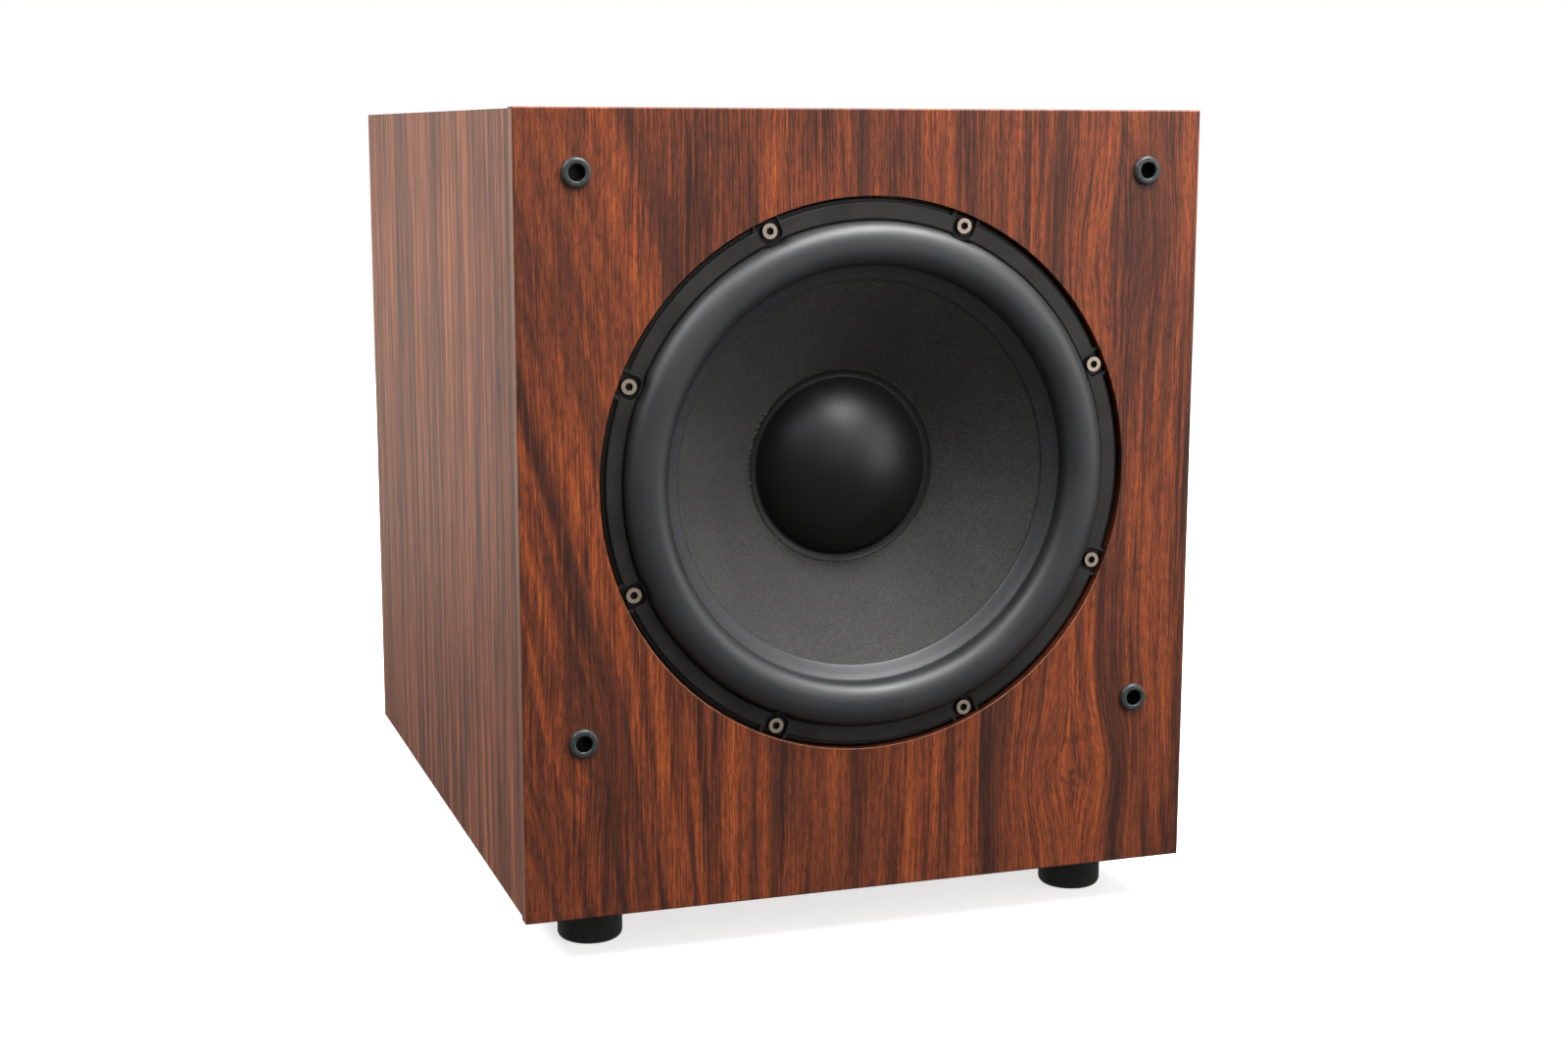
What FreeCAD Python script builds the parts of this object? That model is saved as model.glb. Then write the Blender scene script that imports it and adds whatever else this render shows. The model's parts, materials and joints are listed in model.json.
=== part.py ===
import FreeCAD, Part
import Sketcher
import math
import os
from FreeCAD import Vector, Placement, Rotation

# Front-firing active subwoofer: a vinyl-wrapped cabinet, a 12-inch driver sunk in
# a round rebate of its front board, and a plate amplifier in its back panel.
# Millimetres. X to the right seen from the front, Y from the front to the back,
# Z up. The origin is the middle of the footprint at floor level.

doc = FreeCAD.newDocument("Subwoofer")
sheet = doc.addObject("Spreadsheet::Sheet", "Dims")

CELLS = [
    # cabinet
    ("cab_w", 400.0, "outer width of the front board"),
    ("cab_h", 441.3, "outer height of the front board"),
    ("cab_depth", 486.0, "front face to back edge"),
    ("box_z", 27.6, "underside of the front board above the floor"),
    ("front_y", -255.5, "Y of the front face"),
    ("inset", 0.8, "how far the wrapped panels stand inside the front board"),
    ("wall", 18.0, "panel thickness"),
    ("facing_t", 10.0, "front board thickness, also the rebate depth"),
    ("baffle_t", 18.0, "inner baffle thickness"),
    ("edge_cham", 0.8, "chamfer round the front board"),
    ("rebate_r", 155.7, "rebate wall radius"),
    ("cutout_r", 141.0, "driver cut-out radius in the inner baffle"),
    ("brace_y", 236.0, "front of the window brace"),
    ("brace_t", 18.0, "brace thickness"),
    ("brace_win_w", 250.0, "brace window width"),
    ("brace_win_h", 290.0, "brace window height"),
    ("brace_win_r", 30.0, "brace window corner radius"),
    ("mat_t", 20.0, "wadding thickness"),
    ("mat_y0", 262.0, "wadding front edge"),
    ("mat_y1", 450.0, "wadding rear edge"),
    # grille sockets
    ("sock_dx", 333.0, "socket spacing across"),
    ("sock_dz", 307.5, "socket spacing up"),
    ("sock_z", 253.6, "socket pattern centre above the box underside"),
    ("sock_flange_r", 8.2, "socket flange radius"),
    ("sock_proud", 2.6, "socket flange height"),
    ("sock_tube_r", 5.6, "socket tube radius"),
    ("sock_bore_r", 4.5, "socket bore radius"),
    # feet
    ("foot_x", 152.0, "foot centre from the middle"),
    ("foot_y", 49.5, "foot centre from the front and back edges"),
    ("foot_r", 18.7, "foot radius"),
    ("foot_round", 4.0, "foot lower edge radius"),
    # driver
    ("drv_z", 238.8, "driver axis above the box underside"),
    ("screw_pcr", 149.0, "driver screw circle radius"),
    ("screw_phase", 23.3, "first screw from +X, degrees"),
    ("screw_n", 8.0, "driver screw count"),
    ("flange_r", 154.5, "basket flange radius"),
    ("flange_y", 4.2, "basket flange front"),
    ("flange_back", 9.0, "basket flange back"),
    ("seat_r", 143.4, "surround seat outer radius"),
    ("seat_y", 5.4, "surround seat depth"),
    ("skirt_r", 140.0, "basket skirt outer radius"),
    ("skirt_in", 135.5, "basket skirt inner radius"),
    ("trim_in", 142.4, "trim ring inner radius"),
    ("trim_out", 152.0, "trim ring outer radius"),
    ("trim_y", 1.5, "trim ring front"),
    ("notch_w", 13.4, "trim ring notch width"),
    ("notch_in", 143.3, "trim ring notch inner end"),
    ("bulge_r", 7.7, "trim ring lobe reach inwards from a screw"),
    ("bulge_w", 9.0, "trim ring lobe end radius"),
    ("head_r", 4.25, "M5 socket head radius"),
    ("head_y", 1.2, "M5 socket head front"),
    ("head_seat", 6.2, "M5 socket head seat"),
    ("shank_r", 2.5, "M5 shank radius"),
    ("shank_end", 34.0, "M5 shank end"),
    ("roll_in", 117.2, "roll inner foot radius"),
    ("roll_out", 140.0, "roll outer foot radius"),
    ("roll_crest", -8.5, "roll crest"),
    ("roll_t", 1.2, "roll thickness"),
    ("band_in", 109.0, "surround inner band inner radius"),
    ("cone_k", 0.69, "cone slope"),
    ("cone_r0", 111.7, "cone reference radius"),
    ("cone_y0", 9.0, "cone front surface depth at the reference radius"),
    ("cone_out", 116.4, "cone outer radius"),
    ("cone_t", 1.3, "cone thickness along the axis"),
    ("coil_r", 38.0, "voice coil former outer radius"),
    ("former_t", 0.5, "former thickness"),
    ("former_y0", 57.0, "former front end"),
    ("former_y1", 125.0, "former back end"),
    ("wind_t", 2.0, "winding thickness"),
    ("wind_y0", 87.0, "winding front end"),
    ("wind_y1", 123.0, "winding back end"),
    ("cap_rim", 55.9, "dust cap rim radius"),
    ("cap_r", 51.6, "dust cap dome radius"),
    ("cap_edge_y", 48.4, "dust cap dome edge depth"),
    ("cap_top_y", 21.9, "dust cap apex depth"),
    ("cap_t", 1.2, "dust cap thickness"),
    ("spider_r", 86.0, "spider outer radius"),
    ("spider_y", 74.5, "spider mid depth"),
    ("spider_t", 0.8, "spider thickness"),
    ("spider_amp", 2.0, "spider corrugation height"),
    ("ledge_y", 76.0, "spider ledge front"),
    ("ring_y", 95.5, "basket rear ring front"),
    ("motor_y", 100.0, "basket rear ring back"),
    ("plate_r", 75.0, "top plate radius"),
    ("gap_r", 41.0, "top plate bore radius"),
    ("plate_t", 10.0, "top plate thickness"),
    ("mag_r", 78.0, "magnet radius"),
    ("mag_in", 48.0, "magnet bore radius"),
    ("mag_t", 20.0, "one magnet thickness"),
    ("pole_r", 36.3, "pole radius"),
    ("vent_r", 12.0, "pole vent radius"),
    ("yoke_t", 11.0, "yoke plate thickness"),
    ("motor_pcr", 64.0, "motor screw circle radius"),
    # lead wires
    ("lead_r", 1.3, "speaker lead radius"),
    ("lead_dz", 8.0, "lead offset from the middle"),
    # amplifier
    ("amp_z", 200.0, "amplifier centre above the box underside"),
    ("amp_w", 250.0, "amplifier plate width"),
    ("amp_h", 300.0, "amplifier plate height"),
    ("amp_t", 3.0, "amplifier plate thickness"),
    ("amp_gasket_t", 1.5, "amplifier gasket thickness"),
    ("amp_hole_w", 222.0, "amplifier cut-out width"),
    ("amp_hole_h", 272.0, "amplifier cut-out height"),
    ("hs_x0", -17.0, "heatsink left edge"),
    ("hs_w", 130.0, "heatsink width"),
    ("hs_z0", 20.0, "heatsink lower edge"),
    ("hs_h", 118.0, "heatsink height"),
    ("hs_base", 4.0, "heatsink base thickness"),
    ("fin_h", 25.0, "fin height"),
    ("fin_t", 2.5, "fin thickness"),
    ("fin_n", 12.0, "fin count"),
    ("board_y", 462.0, "main board front face"),
    ("board_t", 1.6, "main board thickness"),
    ("ctl_x", -70.0, "control column"),
    ("knob_r", 10.0, "knob radius"),
    ("knob_len", 16.5, "knob length"),
    ("spindle_r", 2.0, "knob spindle radius"),
    ("vol_z", 115.0, "volume knob height"),
    ("xover_z", 70.0, "crossover knob height"),
    ("phase_z", 32.0, "phase switch height"),
    ("post_z", -12.0, "binding post height"),
    ("iec_x", -75.0, "mains inlet centre"),
    ("iec_z", -112.0, "mains inlet height"),
    ("rock_x", -20.0, "power switch centre"),
    ("rock_tilt", 8.0, "rocker tilt at rest, degrees"),
    ("xfmr_x", 60.0, "transformer centre"),
    ("xfmr_z", -86.0, "transformer height"),
]
sheet.set("A1", "dimension")
sheet.set("B1", "value")
sheet.set("C1", "meaning")
for row, (alias, value, note) in enumerate(CELLS, start=2):
    sheet.set("A%d" % row, alias)
    sheet.set("B%d" % row, repr(value))
    sheet.setAlias("B%d" % row, alias)
    sheet.set("C%d" % row, note)
doc.recompute()


class Q:
    """A length that knows its number and the sheet expression it comes from."""

    def __init__(self, num, text):
        self.num = float(num)
        self.text = text

    @staticmethod
    def of(x):
        return x if isinstance(x, Q) else Q(x, repr(float(x)))

    def __add__(self, o):
        o = Q.of(o)
        return Q(self.num + o.num, "(%s + %s)" % (self.text, o.text))

    def __sub__(self, o):
        o = Q.of(o)
        return Q(self.num - o.num, "(%s - %s)" % (self.text, o.text))

    def __mul__(self, o):
        o = Q.of(o)
        return Q(self.num * o.num, "(%s * %s)" % (self.text, o.text))

    def __truediv__(self, o):
        o = Q.of(o)
        return Q(self.num / o.num, "(%s / %s)" % (self.text, o.text))

    def __radd__(self, o):
        return Q.of(o) + self

    def __rsub__(self, o):
        return Q.of(o) - self

    def __rmul__(self, o):
        return Q.of(o) * self

    def __neg__(self):
        return Q(-self.num, "(0 - %s)" % self.text)

    def root(self):
        return Q(math.sqrt(self.num), "sqrt(%s)" % self.text)

    def cos(self):
        return Q(math.cos(math.radians(self.num)), "cos(%s * 1 deg)" % self.text)

    def sin(self):
        return Q(math.sin(math.radians(self.num)), "sin(%s * 1 deg)" % self.text)


class Cells:
    def __getattr__(self, name):
        return Q(sheet.get(name), "Dims." + name)


D = Cells()


def num(x):
    return x.num if isinstance(x, Q) else float(x)


def bind(obj, prop, q):
    if isinstance(q, Q):
        obj.setExpression(prop, q.text)


subparts = []


def placed(obj, x, y, z, turn=None):
    """Put a sub-part at x, y, z, bound to the sheet, turned about an axis."""
    rot = Rotation() if turn is None else Rotation(Vector(*turn[0]), num(turn[1]))
    obj.Placement = Placement(Vector(num(x), num(y), num(z)), rot)
    bind(obj, "Placement.Base.x", x)
    bind(obj, "Placement.Base.y", y)
    bind(obj, "Placement.Base.z", z)
    subparts.append(obj)
    return obj


def new_body(name):
    b = doc.addObject("PartDesign::Body", name)
    b.Label = name
    return b


def sketch(body, name, role, off=0.0, turn=0.0):
    sk = body.newObject("Sketcher::SketchObject", name)
    plane = [f for f in body.Origin.OriginFeatures if f.Role == role][0]
    sk.AttachmentSupport = [(plane, "")]
    sk.MapMode = "FlatFace"
    sk.AttachmentOffset = Placement(Vector(0, 0, num(off)),
                                    Rotation(Vector(0, 0, 1), num(turn)))
    bind(sk, "AttachmentOffset.Base.z", off)
    return sk


def face_sketch(body, name, depth, turn=0.0):
    """A sketch parallel to the front, at a depth behind the body's own origin."""
    return sketch(body, name, "XZ_Plane", -1.0 * Q.of(depth), turn)


def dim(sk, kind, a, b, c, d, q):
    v = num(q)
    if abs(v) < 1e-9 and kind in ("DistanceX", "DistanceY"):
        axis = -2 if kind == "DistanceX" else -1
        sk.addConstraint(Sketcher.Constraint("PointOnObject", c, d, axis))
        return
    k = sk.addConstraint(Sketcher.Constraint(kind, a, b, c, d, v))
    if isinstance(q, Q):
        sk.setExpression("Constraints[%d]" % k, q.text)


def outline(sk, pts, arcs=None):
    """A closed outline through pts. arcs gives, for the edge that starts at a
    point's index, the arc's centre and whether it runs anticlockwise."""
    arcs = arcs or {}
    n = len(pts)
    base = sk.GeometryCount
    ends = []
    for i in range(n):
        u0, v0 = num(pts[i][0]), num(pts[i][1])
        u1, v1 = num(pts[(i + 1) % n][0]), num(pts[(i + 1) % n][1])
        if i in arcs:
            cu, cv, ccw = arcs[i]
            cu, cv = num(cu), num(cv)
            r = math.hypot(u0 - cu, v0 - cv)
            a0 = math.atan2(v0 - cv, u0 - cu)
            a1 = math.atan2(v1 - cv, u1 - cu)
            if not ccw:
                a0, a1 = a1, a0
            if a1 <= a0:
                a1 += 2.0 * math.pi
            circle = Part.Circle(Vector(cu, cv, 0), Vector(0, 0, 1), r)
            sk.addGeometry(Part.ArcOfCircle(circle, a0, a1), False)
            ends.append((1, 2) if ccw else (2, 1))
        else:
            sk.addGeometry(Part.LineSegment(Vector(u0, v0, 0), Vector(u1, v1, 0)), False)
            ends.append((1, 2))
    for i in range(n):
        j = (i + 1) % n
        sk.addConstraint(Sketcher.Constraint("Coincident", base + i, ends[i][1],
                                             base + j, ends[j][0]))
    for i in range(n):
        dim(sk, "DistanceX", -1, 1, base + i, ends[i][0], pts[i][0])
        dim(sk, "DistanceY", -1, 1, base + i, ends[i][0], pts[i][1])
        if i in arcs:
            cu, cv, _ = arcs[i]
            j = (i + 1) % n
            du = abs(num(pts[j][0]) - num(pts[i][0]))
            dv = abs(num(pts[j][1]) - num(pts[i][1]))
            if du >= dv:
                dim(sk, "DistanceY", -1, 1, base + i, 3, cv)
            else:
                dim(sk, "DistanceX", -1, 1, base + i, 3, cu)


def rect(sk, u0, v0, u1, v1):
    outline(sk, [(u0, v0), (u1, v0), (u1, v1), (u0, v1)])


def circle(sk, u, v, r):
    i = sk.addGeometry(Part.Circle(Vector(num(u), num(v), 0), Vector(0, 0, 1), num(r)), False)
    dim(sk, "DistanceX", -1, 1, i, 3, u)
    dim(sk, "DistanceY", -1, 1, i, 3, v)
    k = sk.addConstraint(Sketcher.Constraint("Radius", i, num(r)))
    if isinstance(r, Q):
        sk.setExpression("Constraints[%d]" % k, r.text)


def hexagon(sk, u, v, flats):
    r = num(flats) / math.sqrt(3.0)
    pts = []
    for k in range(6):
        a = math.radians(60.0 * k + 30.0)
        pts.append((Q.of(u) + r * math.cos(a), Q.of(v) + r * math.sin(a)))
    outline(sk, pts)


def pad(body, name, sk, length, back=True):
    """Pad a sketch; back=True pads towards +Y on a front-parallel sketch."""
    f = body.newObject("PartDesign::Pad", name)
    f.Profile = (sk, [""])
    f.Length = num(length)
    bind(f, "Length", length)
    f.Reversed = back
    doc.recompute()
    return f


def pocket(body, name, sk, length, reverse=False, through=False):
    """Pocket a sketch and make sure that it really cuts."""
    before = body.Shape.Volume
    f = body.newObject("PartDesign::Pocket", name)
    f.Profile = (sk, [""])
    if through:
        f.Type = "ThroughAll"
        f.Midplane = True
    else:
        f.Length = num(length)
        bind(f, "Length", length)
    f.Reversed = reverse
    doc.recompute()
    if not body.Shape.Volume < before - 1e-3:
        raise RuntimeError("%s.%s cuts nothing" % (body.Label, name))
    return f


def polar(body, name, originals, sk, count):
    f = body.newObject("PartDesign::PolarPattern", name)
    f.Originals = originals
    f.Axis = (sk, ["N_Axis"])
    f.Angle = 360.0
    f.Occurrences = int(num(count))
    bind(f, "Occurrences", count)
    body.Tip = f
    doc.recompute()
    return f


def revolve(body, name, pts, arcs=None, cut=False, role="XY_Plane"):
    """Turn a profile of radius against depth about the body's own Y axis."""
    sk = sketch(body, name + "_profile", role)
    outline(sk, pts, arcs)
    before = body.Shape.Volume if cut else 0.0
    f = body.newObject("PartDesign::Groove" if cut else "PartDesign::Revolution", name)
    f.Profile = (sk, [""])
    f.ReferenceAxis = (sk, ["V_Axis"])
    f.Angle = 360.0
    doc.recompute()
    if cut and not body.Shape.Volume < before - 1e-3:
        raise RuntimeError("%s.%s cuts nothing" % (body.Label, name))
    return f


def edge_names(shape, test):
    return ["Edge%d" % (i + 1) for i, e in enumerate(shape.Edges) if test(e)]


def dress(body, name, kind, base, test, size):
    """Fillet or chamfer the edges of a feature that pass a test."""
    names = edge_names(base.Shape, test)
    if not names:
        raise RuntimeError("%s.%s finds no edges" % (body.Label, name))
    f = body.newObject("PartDesign::" + kind, name)
    f.Base = (base, names)
    if kind == "Fillet":
        f.Radius = num(size)
        bind(f, "Radius", size)
    else:
        f.Size = num(size)
        bind(f, "Size", size)
    doc.recompute()
    return f


def round_edge(e, radius, depth):
    """True for a full circular edge of a radius lying at a depth."""
    c = e.Curve
    return (c.TypeId == "Part::GeomCircle" and abs(c.Radius - num(radius)) < 1e-4
            and abs(e.BoundBox.YMin - num(depth)) < 1e-4
            and abs(e.BoundBox.YMax - num(depth)) < 1e-4)


def flat_edge(e, depth):
    return (abs(e.BoundBox.YMin - num(depth)) < 1e-4
            and abs(e.BoundBox.YMax - num(depth)) < 1e-4)


half_w = D.cab_w / 2
out_x = half_w - D.inset
in_x = out_x - D.wall
out_z0 = D.inset
out_z1 = D.cab_h - D.inset
in_z0 = out_z0 + D.wall
in_z1 = out_z1 - D.wall
FY = D.front_y
BZ = D.box_z
DZ = D.box_z + D.drv_z
AZ = D.box_z + D.amp_z
SOCKETS = [(sx * D.sock_dx / 2, D.sock_z + sz * D.sock_dz / 2)
           for sx in (-1, 1) for sz in (-1, 1)]

# ---------------------------------------------------------------- cabinet
b = new_body("front_facing_board")
sk = face_sketch(b, "board_outline", 0)
rect(sk, -half_w, 0, half_w, D.cab_h)
circle(sk, 0, D.drv_z, D.rebate_r)
for sx, sz in SOCKETS:
    circle(sk, sx, sz, D.sock_tube_r)
f = pad(b, "board", sk, D.facing_t)
dress(b, "edge_chamfer", "Chamfer", f,
      lambda e: flat_edge(e, 0) and e.Curve.TypeId == "Part::GeomLine", D.edge_cham)
placed(b, 0, FY, BZ)

b = new_body("inner_baffle")
sk = face_sketch(b, "baffle_outline", D.facing_t)
rect(sk, -in_x, in_z0, in_x, in_z1)
circle(sk, 0, D.drv_z, D.cutout_r)
pad(b, "baffle", sk, D.baffle_t)
# the holes of the threaded inserts, on the driver's screw circle
sk = face_sketch(b, "insert_holes", D.facing_t)
for k in range(int(D.screw_n.num)):
    a = D.screw_phase + k * 45.0
    circle(sk, D.screw_pcr * a.cos(), D.drv_z + D.screw_pcr * a.sin(), 3.5)
pocket(b, "insert_pocket", sk, D.baffle_t)
placed(b, 0, FY, BZ)

panel_len = D.cab_depth - D.facing_t
PANELS = [
    ("left_side_panel", [(-out_x, out_z0), (-in_x, in_z0), (-in_x, in_z1), (-out_x, out_z1)]),
    ("right_side_panel", [(out_x, out_z0), (out_x, out_z1), (in_x, in_z1), (in_x, in_z0)]),
    ("top_panel", [(-out_x, out_z1), (-in_x, in_z1), (in_x, in_z1), (out_x, out_z1)]),
    ("bottom_panel", [(-out_x, out_z0), (out_x, out_z0), (in_x, in_z0), (-in_x, in_z0)]),
]
FEET = [(sx * D.foot_x, y) for sx in (-1, 1)
        for y in (D.foot_y, D.cab_depth - D.foot_y)]
for name, pts in PANELS:
    b = new_body(name)
    sk = face_sketch(b, name + "_section", D.facing_t)
    outline(sk, pts)
    f = pad(b, name + "_pad", sk, panel_len)
    if name == "bottom_panel":
        sk = sketch(b, "foot_screw_holes", "XY_Plane", out_z0)
        for fx, fy in FEET:
            circle(sk, fx, fy, 2.1)
        pocket(b, "foot_screw_pocket", sk, D.wall - 3.0, reverse=True)
    placed(b, 0, FY, BZ)

PLATE_SCREWS = [(118.0, z) for z in (-140.0, -47.0, 47.0, 140.0)]
PLATE_SCREWS += [(-x, z) for x, z in PLATE_SCREWS] + [(0.0, 143.0), (0.0, -143.0)]

b = new_body("back_panel")
sk = face_sketch(b, "back_outline", D.cab_depth - D.wall)
rect(sk, -in_x, in_z0, in_x, in_z1)
f = pad(b, "back", sk, D.wall)
sk = face_sketch(b, "amp_cutout", D.cab_depth - D.wall)
rect(sk, -D.amp_hole_w / 2, D.amp_z - D.amp_hole_h / 2,
     D.amp_hole_w / 2, D.amp_z + D.amp_hole_h / 2)
f = pocket(b, "amp_pocket", sk, D.wall)
f = dress(b, "cutout_corners", "Fillet", f,
          lambda e: (abs(e.BoundBox.YMax - e.BoundBox.YMin - D.wall.num) < 1e-4
                     and abs(abs(e.BoundBox.XMin) - D.amp_hole_w.num / 2) < 1e-3), 8.0)
sk = face_sketch(b, "plate_screw_holes", D.cab_depth - D.wall)
for x, z in PLATE_SCREWS:
    circle(sk, x, D.amp_z + z, 1.8)
pocket(b, "plate_screw_pocket", sk, D.wall)
placed(b, 0, FY, BZ)

b = new_body("window_brace")
mid_z = (in_z0 + in_z1) / 2
sk = face_sketch(b, "brace_outline", D.brace_y)
rect(sk, -in_x, in_z0, in_x, in_z1)
rect(sk, -D.brace_win_w / 2, mid_z - D.brace_win_h / 2,
     D.brace_win_w / 2, mid_z + D.brace_win_h / 2)
f = pad(b, "brace", sk, D.brace_t)
dress(b, "window_corners", "Fillet", f,
      lambda e: (abs(e.BoundBox.YMax - e.BoundBox.YMin - D.brace_t.num) < 1e-4
                 and abs(abs(e.BoundBox.XMin) - D.brace_win_w.num / 2) < 1e-3), D.brace_win_r)
placed(b, 0, FY, BZ)

b = new_body("damping_wadding")
sk = face_sketch(b, "mats", D.mat_y0)
rect(sk, -in_x, 60.0, -in_x + D.mat_t, 380.0)
rect(sk, in_x - D.mat_t, 60.0, in_x, 380.0)
rect(sk, -145.0, in_z0, 145.0, in_z0 + D.mat_t)
pad(b, "mat_pad", sk, D.mat_y1 - D.mat_y0)
placed(b, 0, FY, BZ)

# ---------------------------------------------------------------- grille sockets, feet
b = new_body("grille_sockets")
sk = face_sketch(b, "flanges", -D.sock_proud)
for sx, sz in SOCKETS:
    circle(sk, sx, sz, D.sock_flange_r)
pad(b, "flange_pad", sk, D.sock_proud)
sk = face_sketch(b, "tubes", 0)
for sx, sz in SOCKETS:
    circle(sk, sx, sz, D.sock_tube_r)
pad(b, "tube_pad", sk, D.facing_t)
sk = face_sketch(b, "bores", -D.sock_proud)
for sx, sz in SOCKETS:
    circle(sk, sx, sz, D.sock_bore_r)
f = pocket(b, "bore_pocket", sk, D.sock_proud + D.facing_t - 1.2)
f = dress(b, "flange_round", "Fillet", f,
          lambda e: round_edge(e, D.sock_flange_r, -D.sock_proud), 1.8)
dress(b, "mouth_round", "Fillet", f,
      lambda e: round_edge(e, D.sock_bore_r, -D.sock_proud), 0.9)
placed(b, 0, FY, BZ)

foot_h = D.box_z + D.inset
b = new_body("cabinet_feet")
sk = sketch(b, "foot_discs", "XY_Plane", 0)
for fx, fy in FEET:
    circle(sk, fx, fy, D.foot_r)
f = pad(b, "foot_pad", sk, foot_h, back=False)
sk = sketch(b, "foot_recess", "XY_Plane", 0)
for fx, fy in FEET:
    circle(sk, fx, fy, 7.0)
f = pocket(b, "recess_pocket", sk, 14.0, reverse=True)
sk = sketch(b, "foot_hole", "XY_Plane", 0)
for fx, fy in FEET:
    circle(sk, fx, fy, 2.3)
f = pocket(b, "hole_pocket", sk, foot_h, reverse=True)
dress(b, "foot_lower_round", "Fillet", f,
      lambda e: (e.Curve.TypeId == "Part::GeomCircle" and abs(e.Curve.Radius - D.foot_r.num) < 1e-4
                 and e.BoundBox.ZMax < 1e-4), D.foot_round)
placed(b, 0, FY, 0)

b = new_body("foot_screws")
sk = sketch(b, "foot_screw_heads", "XY_Plane", 10.5)
for fx, fy in FEET:
    circle(sk, fx, fy, 5.0)
pad(b, "head_pad", sk, 3.5, back=False)
sk = sketch(b, "foot_screw_shanks", "XY_Plane", 14.0)
for fx, fy in FEET:
    circle(sk, fx, fy, 2.1)
pad(b, "shank_pad", sk, foot_h - 14.0 + D.wall - 3.0, back=False)
sk = sketch(b, "foot_screw_sockets", "XY_Plane", 10.5)
for fx, fy in FEET:
    hexagon(sk, fx, fy, 4.0)
pocket(b, "socket_pocket", sk, 2.0, reverse=True)
placed(b, 0, FY, 0)

# ---------------------------------------------------------------- driver
PHASE = ((0, -1, 0), D.screw_phase)


def screw_notch(grow):
    """Outline, on the +X side, of the slot about a screw that runs outwards."""
    w = D.notch_w / 2 + grow
    c = 3.6
    x0 = D.notch_in - grow
    return ([(x0 + c, -w), (170.0, -w), (170.0, w), (x0 + c, w), (x0, w - c), (x0, -w + c)],
            {3: (x0 + c, w - c, True), 5: (x0 + c, -w + c, True)})


b = new_body("driver_basket")
revolve(b, "shell", [
    (D.skirt_in, D.seat_y), (D.seat_r, D.seat_y), (D.seat_r, D.flange_y),
    (D.flange_r - 0.6, D.flange_y), (D.flange_r, D.flange_y + 0.6), (D.flange_r, D.flange_back),
    (D.skirt_r, D.flange_back), (D.skirt_r, 20.0), (93.0, D.ledge_y + 2.0), (93.0, 86.0),
    (84.0, 94.0), (84.0, D.motor_y), (50.0, D.motor_y), (50.0, D.ring_y), (79.5, D.ring_y),
    (88.5, 85.0), (88.5, D.ledge_y + 4.0), (80.0, D.ledge_y + 4.0), (80.0, D.ledge_y),
    (90.0, D.ledge_y), (D.skirt_in, 19.0)])
sk = face_sketch(b, "window", 0)
ca, sa = math.cos(math.radians(21.0)), math.sin(math.radians(21.0))
outline(sk, [(97.0 * ca, -97.0 * sa), (131.0 * ca, -131.0 * sa),
             (131.0 * ca, 131.0 * sa), (97.0 * ca, 97.0 * sa)],
        {1: (0, 0, True), 3: (0, 0, False)})
win = pocket(b, "window_pocket", sk, 0, through=True)
polar(b, "windows", [win], sk, 6)
sk = face_sketch(b, "counterbore", D.flange_y)
circle(sk, D.screw_pcr, 0, 4.6)
cb = pocket(b, "counterbore_pocket", sk, D.head_seat - D.flange_y)
polar(b, "counterbores", [cb], sk, D.screw_n)
sk = face_sketch(b, "screw_hole", D.head_seat)
circle(sk, D.screw_pcr, 0, 2.7)
ho = pocket(b, "screw_hole_pocket", sk, D.flange_back - D.head_seat)
polar(b, "screw_holes", [ho], sk, D.screw_n)
sk = face_sketch(b, "motor_hole", D.ring_y)
circle(sk, D.motor_pcr, 0, 2.1)
mo = pocket(b, "motor_hole_pocket", sk, D.motor_y - D.ring_y)
polar(b, "motor_holes", [mo], sk, 6)
sk = face_sketch(b, "terminal_boss", 81.5, turn=-D.screw_phase.num)
rect(sk, 89.5, -10.0, 95.5, 10.0)
pad(b, "terminal_boss_pad", sk, 11.0)
placed(b, 0, FY, DZ, PHASE)

b = new_body("driver_gasket")
revolve(b, "gasket", [(142.0, D.flange_back), (D.flange_r, D.flange_back),
                      (D.flange_r, D.facing_t), (142.0, D.facing_t)])
sk = face_sketch(b, "gasket_hole", D.flange_back)
circle(sk, D.screw_pcr, 0, 2.7)
ho = pocket(b, "gasket_hole_pocket", sk, D.facing_t - D.flange_back)
polar(b, "gasket_holes", [ho], sk, D.screw_n)
placed(b, 0, FY, DZ, PHASE)

b = new_body("trim_ring")
revolve(b, "ring", [(D.trim_in, D.flange_y), (D.trim_in, D.trim_y + 0.9),
                    (D.trim_in + 1.1, D.trim_y), (D.trim_out - 0.5, D.trim_y),
                    (D.trim_out, D.trim_y + 0.5), (D.trim_out, D.flange_y)])
sk = face_sketch(b, "lobe", D.trim_y + 0.9)
circle(sk, D.screw_pcr - D.bulge_r + D.bulge_w, 0, D.bulge_w)
lo = pad(b, "lobe_pad", sk, D.flange_y - D.trim_y - 0.9)
polar(b, "lobes", [lo], sk, D.screw_n)
sk = face_sketch(b, "notch", D.trim_y - 1.0)
pts, arcs = screw_notch(0.0)
outline(sk, pts, arcs)
no = pocket(b, "notch_pocket", sk, 6.0)
polar(b, "notches", [no], sk, D.screw_n)
placed(b, 0, FY, DZ, PHASE)

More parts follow.
